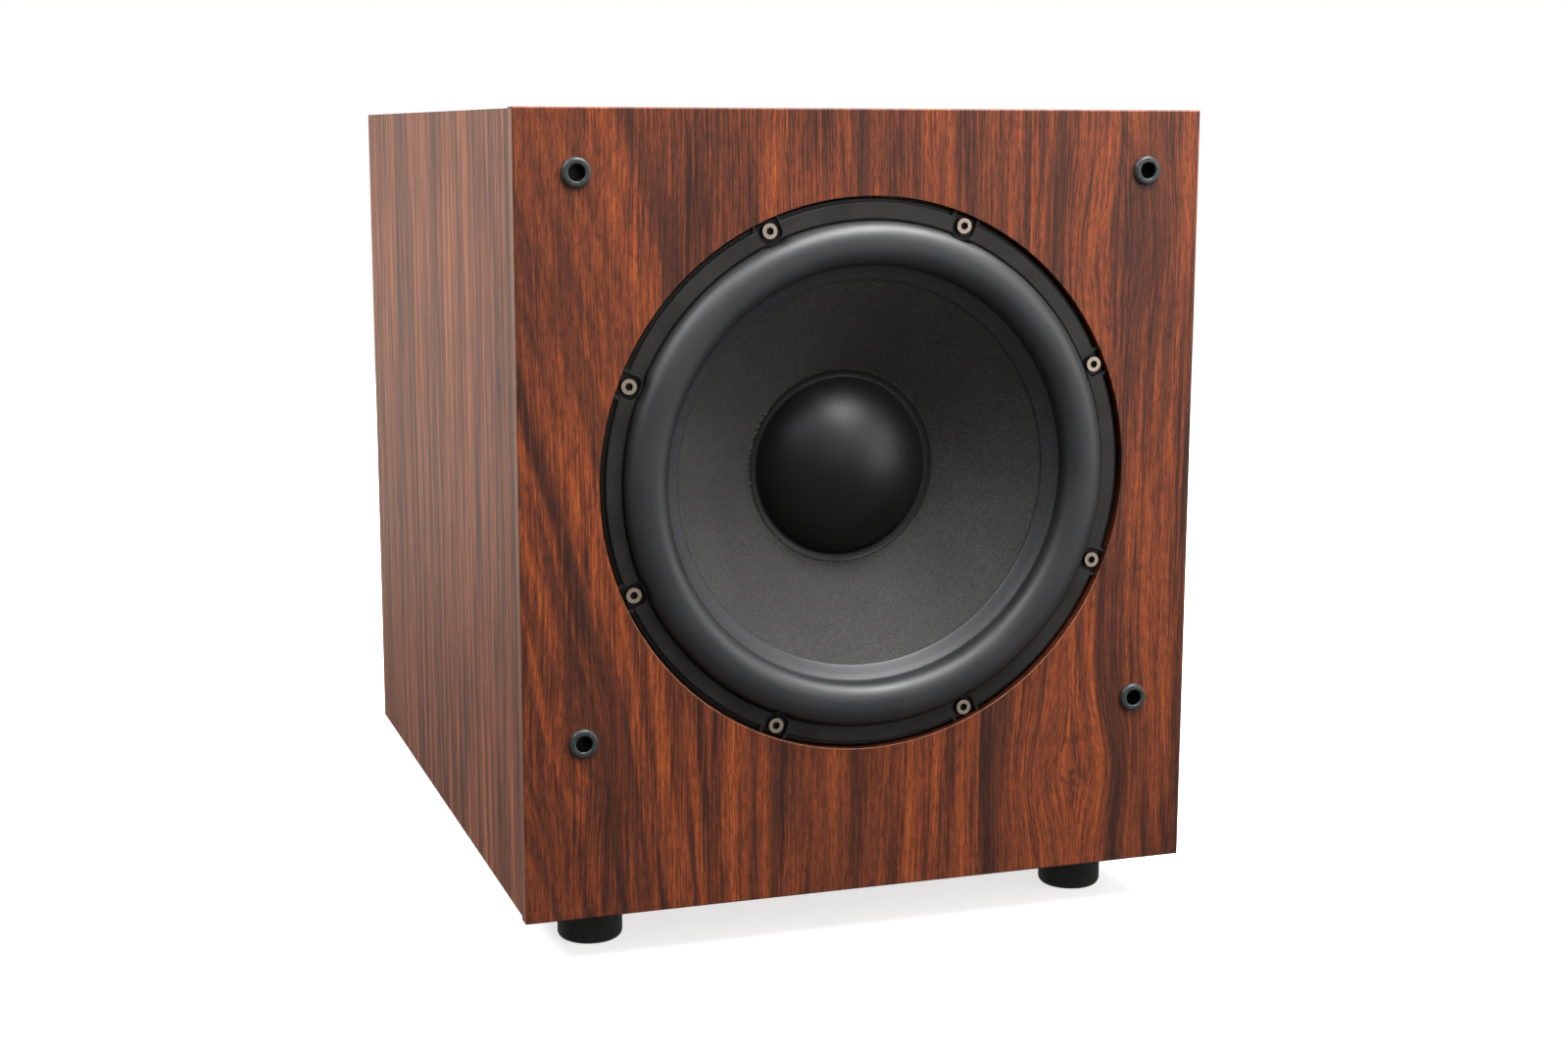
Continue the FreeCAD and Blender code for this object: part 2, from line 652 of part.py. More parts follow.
b = new_body("driver_screws")
sk = face_sketch(b, "head", D.head_y)
circle(sk, D.screw_pcr, 0, D.head_r)
h1 = pad(b, "head_pad", sk, D.head_seat - D.head_y)
sk2 = face_sketch(b, "shank", D.head_seat)
circle(sk2, D.screw_pcr, 0, D.shank_r)
h2 = pad(b, "shank_pad", sk2, D.shank_end - D.head_seat)
sk3 = face_sketch(b, "hex", D.head_y)
hexagon(sk3, D.screw_pcr, 0, 4.0)
h3 = pocket(b, "hex_pocket", sk3, 2.6)
polar(b, "screws", [h1, h2, h3], sk, D.screw_n)
placed(b, 0, FY, DZ, PHASE)

b = new_body("threaded_inserts")
sk = face_sketch(b, "sleeve", D.facing_t)
circle(sk, D.screw_pcr, 0, 3.5)
circle(sk, D.screw_pcr, 0, D.shank_r)
h1 = pad(b, "sleeve_pad", sk, D.baffle_t)
sk2 = face_sketch(b, "insert_flange", D.facing_t + D.baffle_t)
circle(sk2, D.screw_pcr, 0, 8.0)
circle(sk2, D.screw_pcr, 0, D.shank_r)
h2 = pad(b, "insert_flange_pad", sk2, 1.5)
polar(b, "inserts", [h1, h2], sk, D.screw_n)
placed(b, 0, FY, DZ, PHASE)


def cone_front(r):
    return D.cone_y0 + D.cone_k * (D.cone_r0 - r)


rc = (D.roll_in + D.roll_out) / 2
rr = (D.roll_out - D.roll_in) / 2
ry = D.roll_crest + rr
b = new_body("surround")
revolve(b, "roll", [
    (D.seat_r - 0.2, D.flange_y), (D.roll_out, D.flange_y), (D.roll_out, ry), (D.roll_in, ry),
    (D.roll_in, cone_front(D.roll_in) - 1.0), (D.band_in, cone_front(D.band_in) - 1.0),
    (D.band_in, cone_front(D.band_in)), (D.roll_in + D.roll_t, cone_front(D.roll_in + D.roll_t)),
    (D.roll_in + D.roll_t, ry), (D.roll_out - D.roll_t, ry), (D.roll_out - D.roll_t, D.seat_y),
    (D.seat_r - 0.2, D.seat_y)],
    {2: (rc, ry, False), 8: (rc, ry, True)})
placed(b, 0, FY, DZ)

b = new_body("cone")
revolve(b, "cone_shell", [
    (D.cone_out, cone_front(D.cone_out)), (D.coil_r, cone_front(D.coil_r)),
    (D.coil_r, 66.0), (D.coil_r + 1.2, 66.0), (D.coil_r + 1.2, cone_front(D.coil_r + 1.2) + D.cone_t),
    (D.cone_out, cone_front(D.cone_out) + D.cone_t)])
placed(b, 0, FY, DZ)

cap_h = D.cap_edge_y - D.cap_top_y
cap_s = (D.cap_r * D.cap_r + cap_h * cap_h) / (2 * cap_h)
cap_cy = D.cap_top_y + cap_s
in_y = Q.of(50.0)
in_s = cap_s - D.cap_t
in_r = (in_s * in_s - (cap_cy - in_y) * (cap_cy - in_y)).root()
b = new_body("dust_cap")
revolve(b, "dome", [
    (0, D.cap_top_y), (0, D.cap_top_y + D.cap_t), (in_r, in_y),
    (in_r + 0.5, cone_front(in_r + 0.5) - 0.05), (D.cap_rim, cone_front(D.cap_rim) - 0.05),
    (D.cap_rim, cone_front(D.cap_rim) - 0.55), (D.cap_r, D.cap_edge_y)],
    {1: (0, cap_cy, True), 6: (0, cap_cy, False)})
placed(b, 0, FY, DZ)

b = new_body("voice_coil_former")
revolve(b, "former", [(D.coil_r - D.former_t, D.former_y0), (D.coil_r, D.former_y0),
                      (D.coil_r, D.former_y1), (D.coil_r - D.former_t, D.former_y1)])
placed(b, 0, FY, DZ)

b = new_body("voice_coil_winding")
revolve(b, "winding", [(D.coil_r, D.wind_y0), (D.coil_r + D.wind_t, D.wind_y0),
                       (D.coil_r + D.wind_t, D.wind_y1), (D.coil_r, D.wind_y1)])
placed(b, 0, FY, DZ)

b = new_body("spider")
waves = [(D.coil_r, D.spider_y), (D.coil_r + 2.5, D.spider_y)]
for k in range(1, 10):
    side = 1.0 if k % 2 else -1.0
    waves.append((D.coil_r + 2.5 + 3.9 * k, D.spider_y - side * D.spider_amp))
waves += [(80.5, D.ledge_y - D.spider_t), (D.spider_r, D.ledge_y - D.spider_t)]
back = [(r, y + D.spider_t) for r, y in reversed(waves)]
revolve(b, "spider_disc", waves + back)
placed(b, 0, FY, DZ)

b = new_body("top_plate")
plate_back = D.motor_y + D.plate_t
revolve(b, "plate", [(D.gap_r, D.motor_y), (D.plate_r, D.motor_y), (D.plate_r, plate_back),
                     (D.gap_r, plate_back)])
sk = face_sketch(b, "plate_hole", D.motor_y)
circle(sk, D.motor_pcr, 0, 2.0)
ho = pocket(b, "plate_hole_pocket", sk, D.plate_t)
polar(b, "plate_holes", [ho], sk, 6)
placed(b, 0, FY, DZ, PHASE)

for k, name in enumerate(("magnet_front", "magnet_rear")):
    b = new_body(name)
    y0 = plate_back + k * D.mag_t
    f = revolve(b, name + "_ring", [
        (D.mag_in, y0), (D.mag_r - 1.2, y0), (D.mag_r, y0 + 1.2), (D.mag_r, y0 + D.mag_t - 1.2),
        (D.mag_r - 1.2, y0 + D.mag_t), (D.mag_in, y0 + D.mag_t)])
    placed(b, 0, FY, DZ)

b = new_body("t_yoke")
yoke_y = plate_back + 2 * D.mag_t
yb = yoke_y + D.yoke_t
revolve(b, "yoke", [
    (D.vent_r + 3.0, D.motor_y), (D.pole_r - 1.0, D.motor_y), (D.pole_r, D.motor_y + 1.0),
    (D.pole_r, yoke_y - 3.0), (D.pole_r + 3.0, yoke_y), (D.plate_r, yoke_y),
    (D.plate_r, yb - 4.0), (D.plate_r - 4.0, yb),
    (D.vent_r + 6.0, yb), (D.vent_r, yb - 6.0), (D.vent_r, D.motor_y + 3.0)])
placed(b, 0, FY, DZ)

b = new_body("motor_screws")
sk = face_sketch(b, "motor_head", D.ring_y - 3.6)
circle(sk, D.motor_pcr, 0, 3.5)
h1 = pad(b, "motor_head_pad", sk, 3.6)
sk2 = face_sketch(b, "motor_shank", D.ring_y)
circle(sk2, D.motor_pcr, 0, 2.0)
h2 = pad(b, "motor_shank_pad", sk2, plate_back - D.ring_y - 1.0)
sk3 = face_sketch(b, "motor_hex", D.ring_y - 3.6)
hexagon(sk3, D.motor_pcr, 0, 3.0)
h3 = pocket(b, "motor_hex_pocket", sk3, 2.0)
polar(b, "motor_screw_set", [h1, h2, h3], sk, 6)
placed(b, 0, FY, DZ, PHASE)

b = new_body("terminal_board")
sk = face_sketch(b, "board_section", 79.0)
rect(sk, 95.5, -15.0, 97.5, 15.0)
pad(b, "board_pad", sk, 17.0)
placed(b, 0, FY, DZ)

b = new_body("terminal_lugs")
sk = face_sketch(b, "lug_section", 84.0)
rect(sk, 97.5, D.lead_dz - 3.15, 98.3, D.lead_dz + 3.15)
rect(sk, 97.5, -D.lead_dz - 3.15, 98.3, -D.lead_dz + 3.15)
pad(b, "lug_pad", sk, 20.0)
placed(b, 0, FY, DZ)


def tube(name, pts, r):
    """A round lead along straight runs joined by tangent arcs."""
    P = [Vector(*p) for p in pts]
    edges = []
    last = P[0]
    radii = []
    length = 0.0
    for i in range(1, len(P) - 1):
        a = P[i - 1] - P[i]
        c = P[i + 1] - P[i]
        la, lc = a.Length, c.Length
        a.normalize()
        c.normalize()
        turn = math.pi - a.getAngle(c)
        rad = 0.45 * min(la, lc) / math.tan(turn / 2.0)
        t = rad * math.tan(turn / 2.0)
        p0 = P[i] + a * t
        p1 = P[i] + c * t
        bis = (a + c)
        bis.normalize()
        mid = P[i] + bis * (rad / math.cos(turn / 2.0) - rad)
        radii.append(round(rad, 1))
        edges.append(Part.LineSegment(last, p0).toShape())
        edges.append(Part.Arc(p0, mid, p1).toShape())
        length += (p0 - last).Length + rad * turn
        last = p1
    edges.append(Part.LineSegment(last, P[-1]).toShape())
    length += (P[-1] - last).Length
    wire = Part.Wire(edges)
    d = P[1] - P[0]
    ring = Part.Wire([Part.Circle(P[0], d, r).toShape()])
    solid = wire.makePipeShell([ring], True, True, 2)
    want = math.pi * r * r * length
    print(name, "length %.1f radii %s volume ratio %.4f" % (length, radii, solid.Volume / want))
    if abs(solid.Volume / want - 1.0) > 0.01:
        raise RuntimeError(name + " has the wrong volume")
    obj = doc.addObject("Part::Feature", name)
    obj.Label = name
    obj.Shape = solid
    return obj


# the leads from the driver's terminals to the main board
LR = D.lead_r.num
LZ = D.lead_dz.num
BY = D.board_y.num
ROUTES = {
    "speaker_lead_red": [(97.9, 104.0, LZ), (98.3, 146.0, LZ + 1.0), (95.0, 196.0, LZ - 7.0),
                         (97.5, 250.0, LZ - 16.0), (101.0, 303.0, LZ - 18.0),
                         (99.0, 356.0, LZ - 10.0), (94.5, 409.0, LZ - 3.0), (94.0, BY, LZ - 2.0)],
    "speaker_lead_black": [(97.9, 104.0, -LZ), (98.8, 147.0, -LZ - 1.5), (97.0, 198.0, -LZ - 10.0),
                           (94.0, 251.0, -LZ - 19.0), (97.0, 304.0, -LZ - 21.0),
                           (100.5, 355.0, -LZ - 13.0), (96.0, 408.0, -LZ - 5.0),
                           (94.5, BY, -LZ - 3.5)],
}
for name, pts in ROUTES.items():
    obj = tube(name, pts, LR)
    placed(obj, 0, FY, DZ)

# ---------------------------------------------------------------- amplifier
gy0 = D.cab_depth
py0 = D.cab_depth + D.amp_gasket_t
py1 = py0 + D.amp_t
aw = D.amp_w / 2
ah = D.amp_h / 2
RCA = [(x, z) for x in (-50.0, -76.0) for z in (-12.0, -40.0)]
POSTS = [(100.0, 0), (81.0, 0), (56.0, 0), (37.0, 0)]

b = new_body("amp_gasket")
sk = face_sketch(b, "gasket_frame", gy0)
rect(sk, -aw, -ah, aw, ah)
rect(sk, -D.amp_hole_w / 2, -D.amp_hole_h / 2, D.amp_hole_w / 2, D.amp_hole_h / 2)
for x, z in PLATE_SCREWS:
    circle(sk, x, z, 2.2)
pad(b, "gasket_pad", sk, D.amp_gasket_t)
placed(b, 0, FY, AZ)

b = new_body("amp_plate")
sk = face_sketch(b, "plate_outline", py0)
rect(sk, -aw, -ah, aw, ah)
for x, z in PLATE_SCREWS:
    circle(sk, x, z, 2.2)
for z in (D.vol_z, D.xover_z):
    circle(sk, D.ctl_x, z, 3.6)
rect(sk, D.ctl_x - 4.6, D.phase_z - 2.3, D.ctl_x + 4.6, D.phase_z + 2.3)
for x, z in RCA:
    circle(sk, x, z, 4.5)
for x, z in POSTS:
    circle(sk, x, D.post_z, 3.6)
circle(sk, -35.0, 128.0, 2.6)
rect(sk, D.rock_x - 9.6, D.iec_z - 14.1, D.rock_x + 9.6, D.iec_z + 14.1)
rect(sk, D.iec_x - 14.0, D.iec_z - 17.0, D.iec_x + 14.0, D.iec_z + 17.0)
circle(sk, D.xfmr_x, D.xfmr_z, 3.1)
f = pad(b, "plate_pad", sk, D.amp_t)
f = dress(b, "plate_corners", "Fillet", f,
          lambda e: (abs(e.BoundBox.YMax - e.BoundBox.YMin - D.amp_t.num) < 1e-4
                     and e.Curve.TypeId == "Part::GeomLine"
                     and abs(abs(e.BoundBox.XMin) - aw.num) < 1e-3), 5.0)
dress(b, "plate_edge", "Chamfer", f,
      lambda e: flat_edge(e, py1) and (abs(abs(e.CenterOfMass.x) - aw.num) < 2.5
                                       or abs(abs(e.CenterOfMass.z) - ah.num) < 2.5), 0.8)
placed(b, 0, FY, AZ)

b = new_body("amp_heatsink")
sk = face_sketch(b, "heatsink_base", py1)
rect(sk, D.hs_x0, D.hs_z0, D.hs_x0 + D.hs_w, D.hs_z0 + D.hs_h)
pad(b, "base_pad", sk, D.hs_base)
sk = face_sketch(b, "fin", py1 + D.hs_base)
rect(sk, D.hs_x0, D.hs_z0, D.hs_x0 + D.fin_t, D.hs_z0 + D.hs_h)
fin = pad(b, "fin_pad", sk, D.fin_h)
fin.TaperAngle = -0.6
lp = b.newObject("PartDesign::LinearPattern", "fins")
lp.Originals = [fin]
lp.Direction = (sk, ["H_Axis"])
lp.Length = D.hs_w.num - D.fin_t.num
bind(lp, "Length", D.hs_w - D.fin_t)
lp.Occurrences = int(D.fin_n.num)
bind(lp, "Occurrences", D.fin_n)
b.Tip = lp
doc.recompute()
placed(b, 0, FY, AZ)

b = new_body("amp_plate_screws")
sk = face_sketch(b, "pan_heads", py1)
for x, z in PLATE_SCREWS:
    circle(sk, x, z, 3.9)
f = pad(b, "pan_pad", sk, 2.4)
sk = face_sketch(b, "pan_shanks", D.cab_depth - 16.0)
for x, z in PLATE_SCREWS:
    circle(sk, x, z, 1.8)
f = pad(b, "pan_shank_pad", sk, py1 - D.cab_depth + 16.0)
sk = face_sketch(b, "pan_hex", py1 + 2.4)
for x, z in PLATE_SCREWS:
    hexagon(sk, x, z, 2.5)
f = pocket(b, "pan_hex_pocket", sk, 1.4, reverse=True)
dress(b, "pan_round", "Fillet", f, lambda e: round_edge(e, 3.9, py1 + 2.4), 1.1)
placed(b, 0, FY, AZ)

STAND = [(sx * 92.0, z) for sx in (-1, 1) for z in (-12.0, 122.0)]
b = new_body("main_board")
sk = face_sketch(b, "board_outline", D.board_y)
rect(sk, -100.0, -20.0, 100.0, 130.0)
for x, z in STAND:
    circle(sk, x, z, 1.6)
pad(b, "board_pad", sk, D.board_t)
placed(b, 0, FY, AZ)

b = new_body("board_standoffs")
sk = face_sketch(b, "standoff_hex", D.board_y + D.board_t)
for x, z in STAND:
    hexagon(sk, x, z, 6.0)
pad(b, "standoff_pad", sk, py0 - D.board_y - D.board_t)
sk = face_sketch(b, "standoff_stud", D.board_y - 3.0)
for x, z in STAND:
    circle(sk, x, z, 1.55)
pad(b, "stud_pad", sk, D.board_t + 3.0)
placed(b, 0, FY, AZ)

b = new_body("toroidal_transformer")
f = revolve(b, "core", [(14.0, 443.5), (45.0, 443.5), (45.0, py0), (14.0, py0)])
dress(b, "core_round", "Fillet", f,
      lambda e: (e.Curve.TypeId == "Part::GeomCircle"
                 and (abs(e.Curve.Radius - 45.0) < 1e-3 or (abs(e.Curve.Radius - 14.0) < 1e-3
                      and e.BoundBox.YMax < 450.0))), 8.0)
placed(b, D.xfmr_x, FY, AZ + D.xfmr_z)

b = new_body("transformer_bolt")
revolve(b, "bolt", [(0, 434.0), (5.0, 434.0), (5.0, 439.0), (18.0, 439.0), (21.0, 441.0),
                    (24.0, 441.0), (24.0, 443.5), (13.5, 443.5), (13.5, 446.5), (3.0, 446.5),
                    (3.0, py1), (7.0, py1), (7.0, py1 + 3.0), (0, py1 + 3.0)])
placed(b, D.xfmr_x, FY, AZ + D.xfmr_z)

b = new_body("filter_capacitors")
CAPS = [(-40.0, 30.0), (-4.0, 30.0)]
sk = face_sketch(b, "cap_cans", D.board_y - 50.0)
for x, z in CAPS:
    circle(sk, x, z, 15.0)
f = pad(b, "can_pad", sk, 50.0)
sk = face_sketch(b, "can_vent", D.board_y - 50.0)
for x, z in CAPS:
    circle(sk, x, z, 12.2)
f = pocket(b, "vent_pocket", sk, 0.8)
dress(b, "can_round", "Fillet", f, lambda e: round_edge(e, 15.0, D.board_y - 50.0), 1.4)
placed(b, 0, FY, AZ)

b = new_body("output_transistors")
TX = [8.0, 33.0, 58.0, 83.0]
sk = face_sketch(b, "device_bodies", py0 - 5.0)
for x in TX:
    rect(sk, x - 8.0, 44.0, x + 8.0, 65.0)
pad(b, "device_pad", sk, 5.0)
sk = face_sketch(b, "device_legs", py0 - 3.0)
for x in TX:
    for k in (-1, 0, 1):
        rect(sk, x + 5.4 * k - 0.6, 38.0, x + 5.4 * k + 0.6, 44.0)
pad(b, "leg_pad", sk, 0.7)
sk = face_sketch(b, "device_feet", D.board_y + D.board_t)
for x in TX:
    for k in (-1, 0, 1):
        rect(sk, x + 5.4 * k - 0.6, 38.0, x + 5.4 * k + 0.6, 38.8)
pad(b, "feet_pad", sk, py0 - 3.0 - D.board_y - D.board_t + 0.7)
placed(b, 0, FY, AZ)

knob_y0 = py1 + 1.0
knob_y1 = knob_y0 + D.knob_len
for who, kz in (("volume", D.vol_z), ("crossover", D.xover_z)):
    b = new_body(who + "_knob")
    revolve(b, who + "_turning", [
        (0, py0 - 5.0), (D.spindle_r, py0 - 5.0), (D.spindle_r, knob_y0 + 2.0), (6.5, knob_y0 + 2.0),
        (6.5, knob_y0), (D.knob_r, knob_y0), (D.knob_r, knob_y0 + 3.0), (D.knob_r - 0.8, knob_y0 + 4.0),
        (D.knob_r - 1.4, knob_y1 - 1.2), (D.knob_r - 2.6, knob_y1), (0, knob_y1)])
    sk = face_sketch(b, "pointer", knob_y1)
    rect(sk, -0.6, 2.0, 0.6, D.knob_r + 1.0)
    f = pocket(b, "pointer_pocket", sk, 0.9, reverse=True)
    sk = face_sketch(b, "flute", knob_y1)
    circle(sk, D.knob_r + 0.2, 0, 1.3)
    fl = pocket(b, "flute_pocket", sk, D.knob_len - 4.5, reverse=True)
    polar(b, "flutes", [fl], sk, 18)
    placed(b, D.ctl_x, FY, AZ + kz)
    b = new_body(who + "_pot")
    revolve(b, who + "_pot_turning", [
        (0, py0 - 8.5), (8.3, py0 - 8.5), (8.3, py0), (3.5, py0), (3.5, py1), (D.spindle_r + 0.06, py1),
        (D.spindle_r + 0.06, py0 - 5.4), (0, py0 - 5.4)])
    sk = face_sketch(b, "pot_pins", D.board_y + D.board_t)
    for k in (-1, 0, 1):
        rect(sk, 5.0 * k - 0.5, -6.9, 5.0 * k + 0.5, -5.9)
    pad(b, "pin_pad", sk, py0 - 7.5 - D.board_y - D.board_t)
    placed(b, D.ctl_x, FY, AZ + kz)

b = new_body("phase_switch_body")
sk = face_sketch(b, "switch_case", py0 - 8.0)
rect(sk, -9.0, -4.0, 9.0, 4.0)
pad(b, "case_pad", sk, 8.0)
sk = face_sketch(b, "switch_cavity", py0)
rect(sk, -4.4, -2.1, 4.4, 2.1)
pocket(b, "cavity_pocket", sk, 6.0, reverse=True)
sk = face_sketch(b, "switch_pins", D.board_y + D.board_t)
for k in (-1, 0, 1):
    rect(sk, 4.0 * k - 0.4, -0.4, 4.0 * k + 0.4, 0.4)
pad(b, "switch_pin_pad", sk, py0 - 7.5 - D.board_y - D.board_t)
placed(b, D.ctl_x, FY, AZ + D.phase_z)

b = new_body("phase_switch_lever")
sk = face_sketch(b, "lever_base", py0 - 5.7)
rect(sk, -4.1, -1.8, 0.1, 1.8)
pad(b, "lever_base_pad", sk, 4.0)
sk = face_sketch(b, "lever_tip", py0 - 1.8)
rect(sk, -3.6, -1.5, -0.4, 1.5)
pad(b, "lever_tip_pad", sk, D.amp_t + 6.3)
placed(b, D.ctl_x, FY, AZ + D.phase_z)

b = new_body("power_switch_body")
sk = face_sketch(b, "switch_housing", py0 - 22.0)
rect(sk, -9.4, -13.9, 9.4, 13.9)
pad(b, "housing_pad", sk, py1 - py0 + 22.0)
sk = face_sketch(b, "bezel", py1)
rect(sk, -11.0, -15.8, 11.0, 15.8)
pad(b, "bezel_pad", sk, 1.8)
sk = face_sketch(b, "rocker_opening", py1 + 1.8)
rect(sk, -8.0, -12.6, 8.0, 12.6)
pocket(b, "opening_pocket", sk, 18.0, reverse=True)
# bores in the cheeks for the rocker's trunnions
sk = sketch(b, "trunnion_bores", "YZ_Plane", -8.9)
circle(sk, py1 - 1.5, 0, 1.55)
pocket(b, "trunnion_pocket", sk, 17.8, reverse=True)
placed(b, D.rock_x, FY, AZ + D.iec_z)

# the rocker turns about an X axis; its own origin is that axis
b = new_body("power_rocker")
sk = sketch(b, "rocker_section", "YZ_Plane", -7.5)
outline(sk, [(8.6, -11.0), (5.2, 0), (8.6, 11.0), (1.0, 11.3), (-4.0, 3.0), (-4.0, -3.0), (1.0, -11.3)],
        {})
f = pad(b, "rocker_pad", sk, 15.0, back=False)
sk = sketch(b, "trunnions", "YZ_Plane", -8.7)
circle(sk, 0, 0, 1.5)
pad(b, "trunnion_pad", sk, 17.4, back=False)
placed(b, D.rock_x, FY + py1 - 1.5, AZ + D.iec_z, ((1, 0, 0), D.rock_tilt))

b = new_body("iec_inlet")
sk = face_sketch(b, "inlet_flange", py1)
rect(sk, -17.0, -21.0, 17.0, 21.0)
f = pad(b, "inlet_flange_pad", sk, 2.5)
sk = face_sketch(b, "inlet_body", py0 - 20.0)
rect(sk, -13.8, -16.8, 13.8, 16.8)
f = pad(b, "inlet_body_pad", sk, py1 - py0 + 20.0)
sk = face_sketch(b, "inlet_recess", py1 + 2.5)
outline(sk, [(-12.2, -3.0), (12.2, -3.0), (12.2, 9.5), (8.0, 13.8), (-8.0, 13.8), (-12.2, 9.5)])
f = pocket(b, "recess_pocket", sk, 19.0, reverse=True)
sk = face_sketch(b, "drawer_slot", py1 + 2.5)
rect(sk, -10.3, -15.2, 10.3, -5.4)
f = pocket(b, "drawer_pocket", sk, 20.0, reverse=True)
placed(b, D.iec_x, FY, AZ + D.iec_z)

b = new_body("iec_pins")
sk = face_sketch(b, "pins", py1 + 2.5 - 19.0 - 10.0)
for x, z in ((-7.0, 2.6), (7.0, 2.6), (0, 6.8)):
    rect(sk, x - 1.0, Q.of(z) - 2.0, x + 1.0, Q.of(z) + 2.0)
pad(b, "blade_pad", sk, 26.0)
placed(b, D.iec_x, FY, AZ + D.iec_z)
# blades run through the inlet's floor
inlet = doc.getObject("iec_inlet")
sk = face_sketch(inlet, "blade_slots", py0 - 20.0)
for x, z in ((-7.0, 2.6), (7.0, 2.6), (0, 6.8)):
    rect(sk, x - 1.0, Q.of(z) - 2.0, x + 1.0, Q.of(z) + 2.0)
pocket(inlet, "blade_pocket", sk, 10.0)

b = new_body("fuse_drawer")
sk = face_sketch(b, "drawer_box", py1 + 2.5 - 19.0)
rect(sk, -9.9, -14.8, 9.9, -5.8)
pad(b, "drawer_pad", sk, 19.0)
sk = face_sketch(b, "drawer_face", py1 + 2.5)
rect(sk, -9.9, -14.8, 9.9, -5.8)
f = pad(b, "face_pad", sk, 1.2)
sk = face_sketch(b, "fuse_bed", py1 - 1.0)
rect(sk, -3.2, -16.0, 3.2, -8.0)
f = pocket(b, "fuse_bed_pocket", sk, 13.0, reverse=True)
sk = face_sketch(b, "finger_nick", py1 + 3.7)
rect(sk, -4.0, -7.6, 4.0, -4.0)
f = pocket(b, "nick_pocket", sk, 1.0, reverse=True)
placed(b, D.iec_x, FY, AZ + D.iec_z)

b = new_body("rca_jacks")
sk = face_sketch(b, "jack_flange", py1)
for x, z in RCA:
    circle(sk, x, z, 5.6)
pad(b, "jack_flange_pad", sk, 1.4)
sk = face_sketch(b, "jack_barrel", py1)
for x, z in RCA:
    circle(sk, x, z, 4.1)
pad(b, "jack_barrel_pad", sk, 9.0)
sk = face_sketch(b, "jack_rear", py0 - 12.0)
for x, z in RCA:
    circle(sk, x, z, 4.4)
pad(b, "jack_rear_pad", sk, py1 - py0 + 12.0)
sk = face_sketch(b, "jack_bore", py1 + 9.0)
for x, z in RCA:
    circle(sk, x, z, 3.3)
pocket(b, "jack_bore_pocket", sk, 2.0, reverse=True)
sk = face_sketch(b, "jack_pin_bore", py1 + 9.0)
for x, z in RCA:
    circle(sk, x, z, 1.7)
pocket(b, "jack_pin_pocket", sk, 17.0, reverse=True)
placed(b, 0, FY, AZ)

b = new_body("binding_posts")
sk = face_sketch(b, "post_bases", py1)
for x, z in POSTS:
    circle(sk, x, D.post_z, 6.4)
pad(b, "post_base_pad", sk, 3.0)
sk = face_sketch(b, "post_studs", py0 - 14.0)
for x, z in POSTS:
    circle(sk, x, D.post_z, 3.0)
pad(b, "stud_pad", sk, py1 - py0 + 14.0 + 15.0)
placed(b, 0, FY, AZ)

for k, (name, x) in enumerate((("binding_cap_right_positive", 100.0),
                               ("binding_cap_right_negative", 81.0),
                               ("binding_cap_left_positive", 56.0),
                               ("binding_cap_left_negative", 37.0))):
    b = new_body(name)
    c0 = py1 + 3.4
    revolve(b, "cap_turning", [
        (3.06, c0), (6.4, c0), (7.0, c0 + 0.8), (7.0, c0 + 10.5), (6.0, c0 + 12.5),
        (0, c0 + 12.5), (0, c0 + 11.9), (3.06, c0 + 11.9)])
    sk = face_sketch(b, "cap_flute", c0 + 12.5)
    circle(sk, 7.4, 0, 0.9)
    fl = pocket(b, "cap_flute_pocket", sk, 13.0, reverse=True)
    polar(b, "cap_flutes", [fl], sk, 16)
    placed(b, x, FY, AZ + D.post_z)

b = new_body("status_led")
revolve(b, "led", [(0, py0 - 5.0), (2.9, py0 - 5.0), (2.9, py0 - 4.0), (2.5, py0 - 4.0),
                   (2.5, py1 + 0.6), (1.8, py1 + 1.8), (0, py1 + 2.2)])
placed(b, -35.0, FY, AZ + 128.0)

# ---------------------------------------------------------------- checks and export
doc.recompute()
bad = [o.Name for o in doc.Objects if "Invalid" in o.State or "Error" in o.State]
if bad:
    raise RuntimeError("objects that failed: %s" % bad)
os.makedirs("parts", exist_ok=True)
for o in subparts:
    s = o.Shape
    if s.isNull() or not s.isValid() or s.Volume <= 0:
        raise RuntimeError("bad shape: " + o.Label)
    bb = s.BoundBox
    print("%-28s solids %2d  vol %10.1f  x %7.1f %7.1f  y %7.1f %7.1f  z %7.1f %7.1f" % (
        o.Label, len(s.Solids), s.Volume, bb.XMin, bb.XMax, bb.YMin, bb.YMax, bb.ZMin, bb.ZMax))
    s.exportStep("parts/%s.step" % o.Label)
print("sub-parts:", len(subparts))
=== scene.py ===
import json
import math
import random

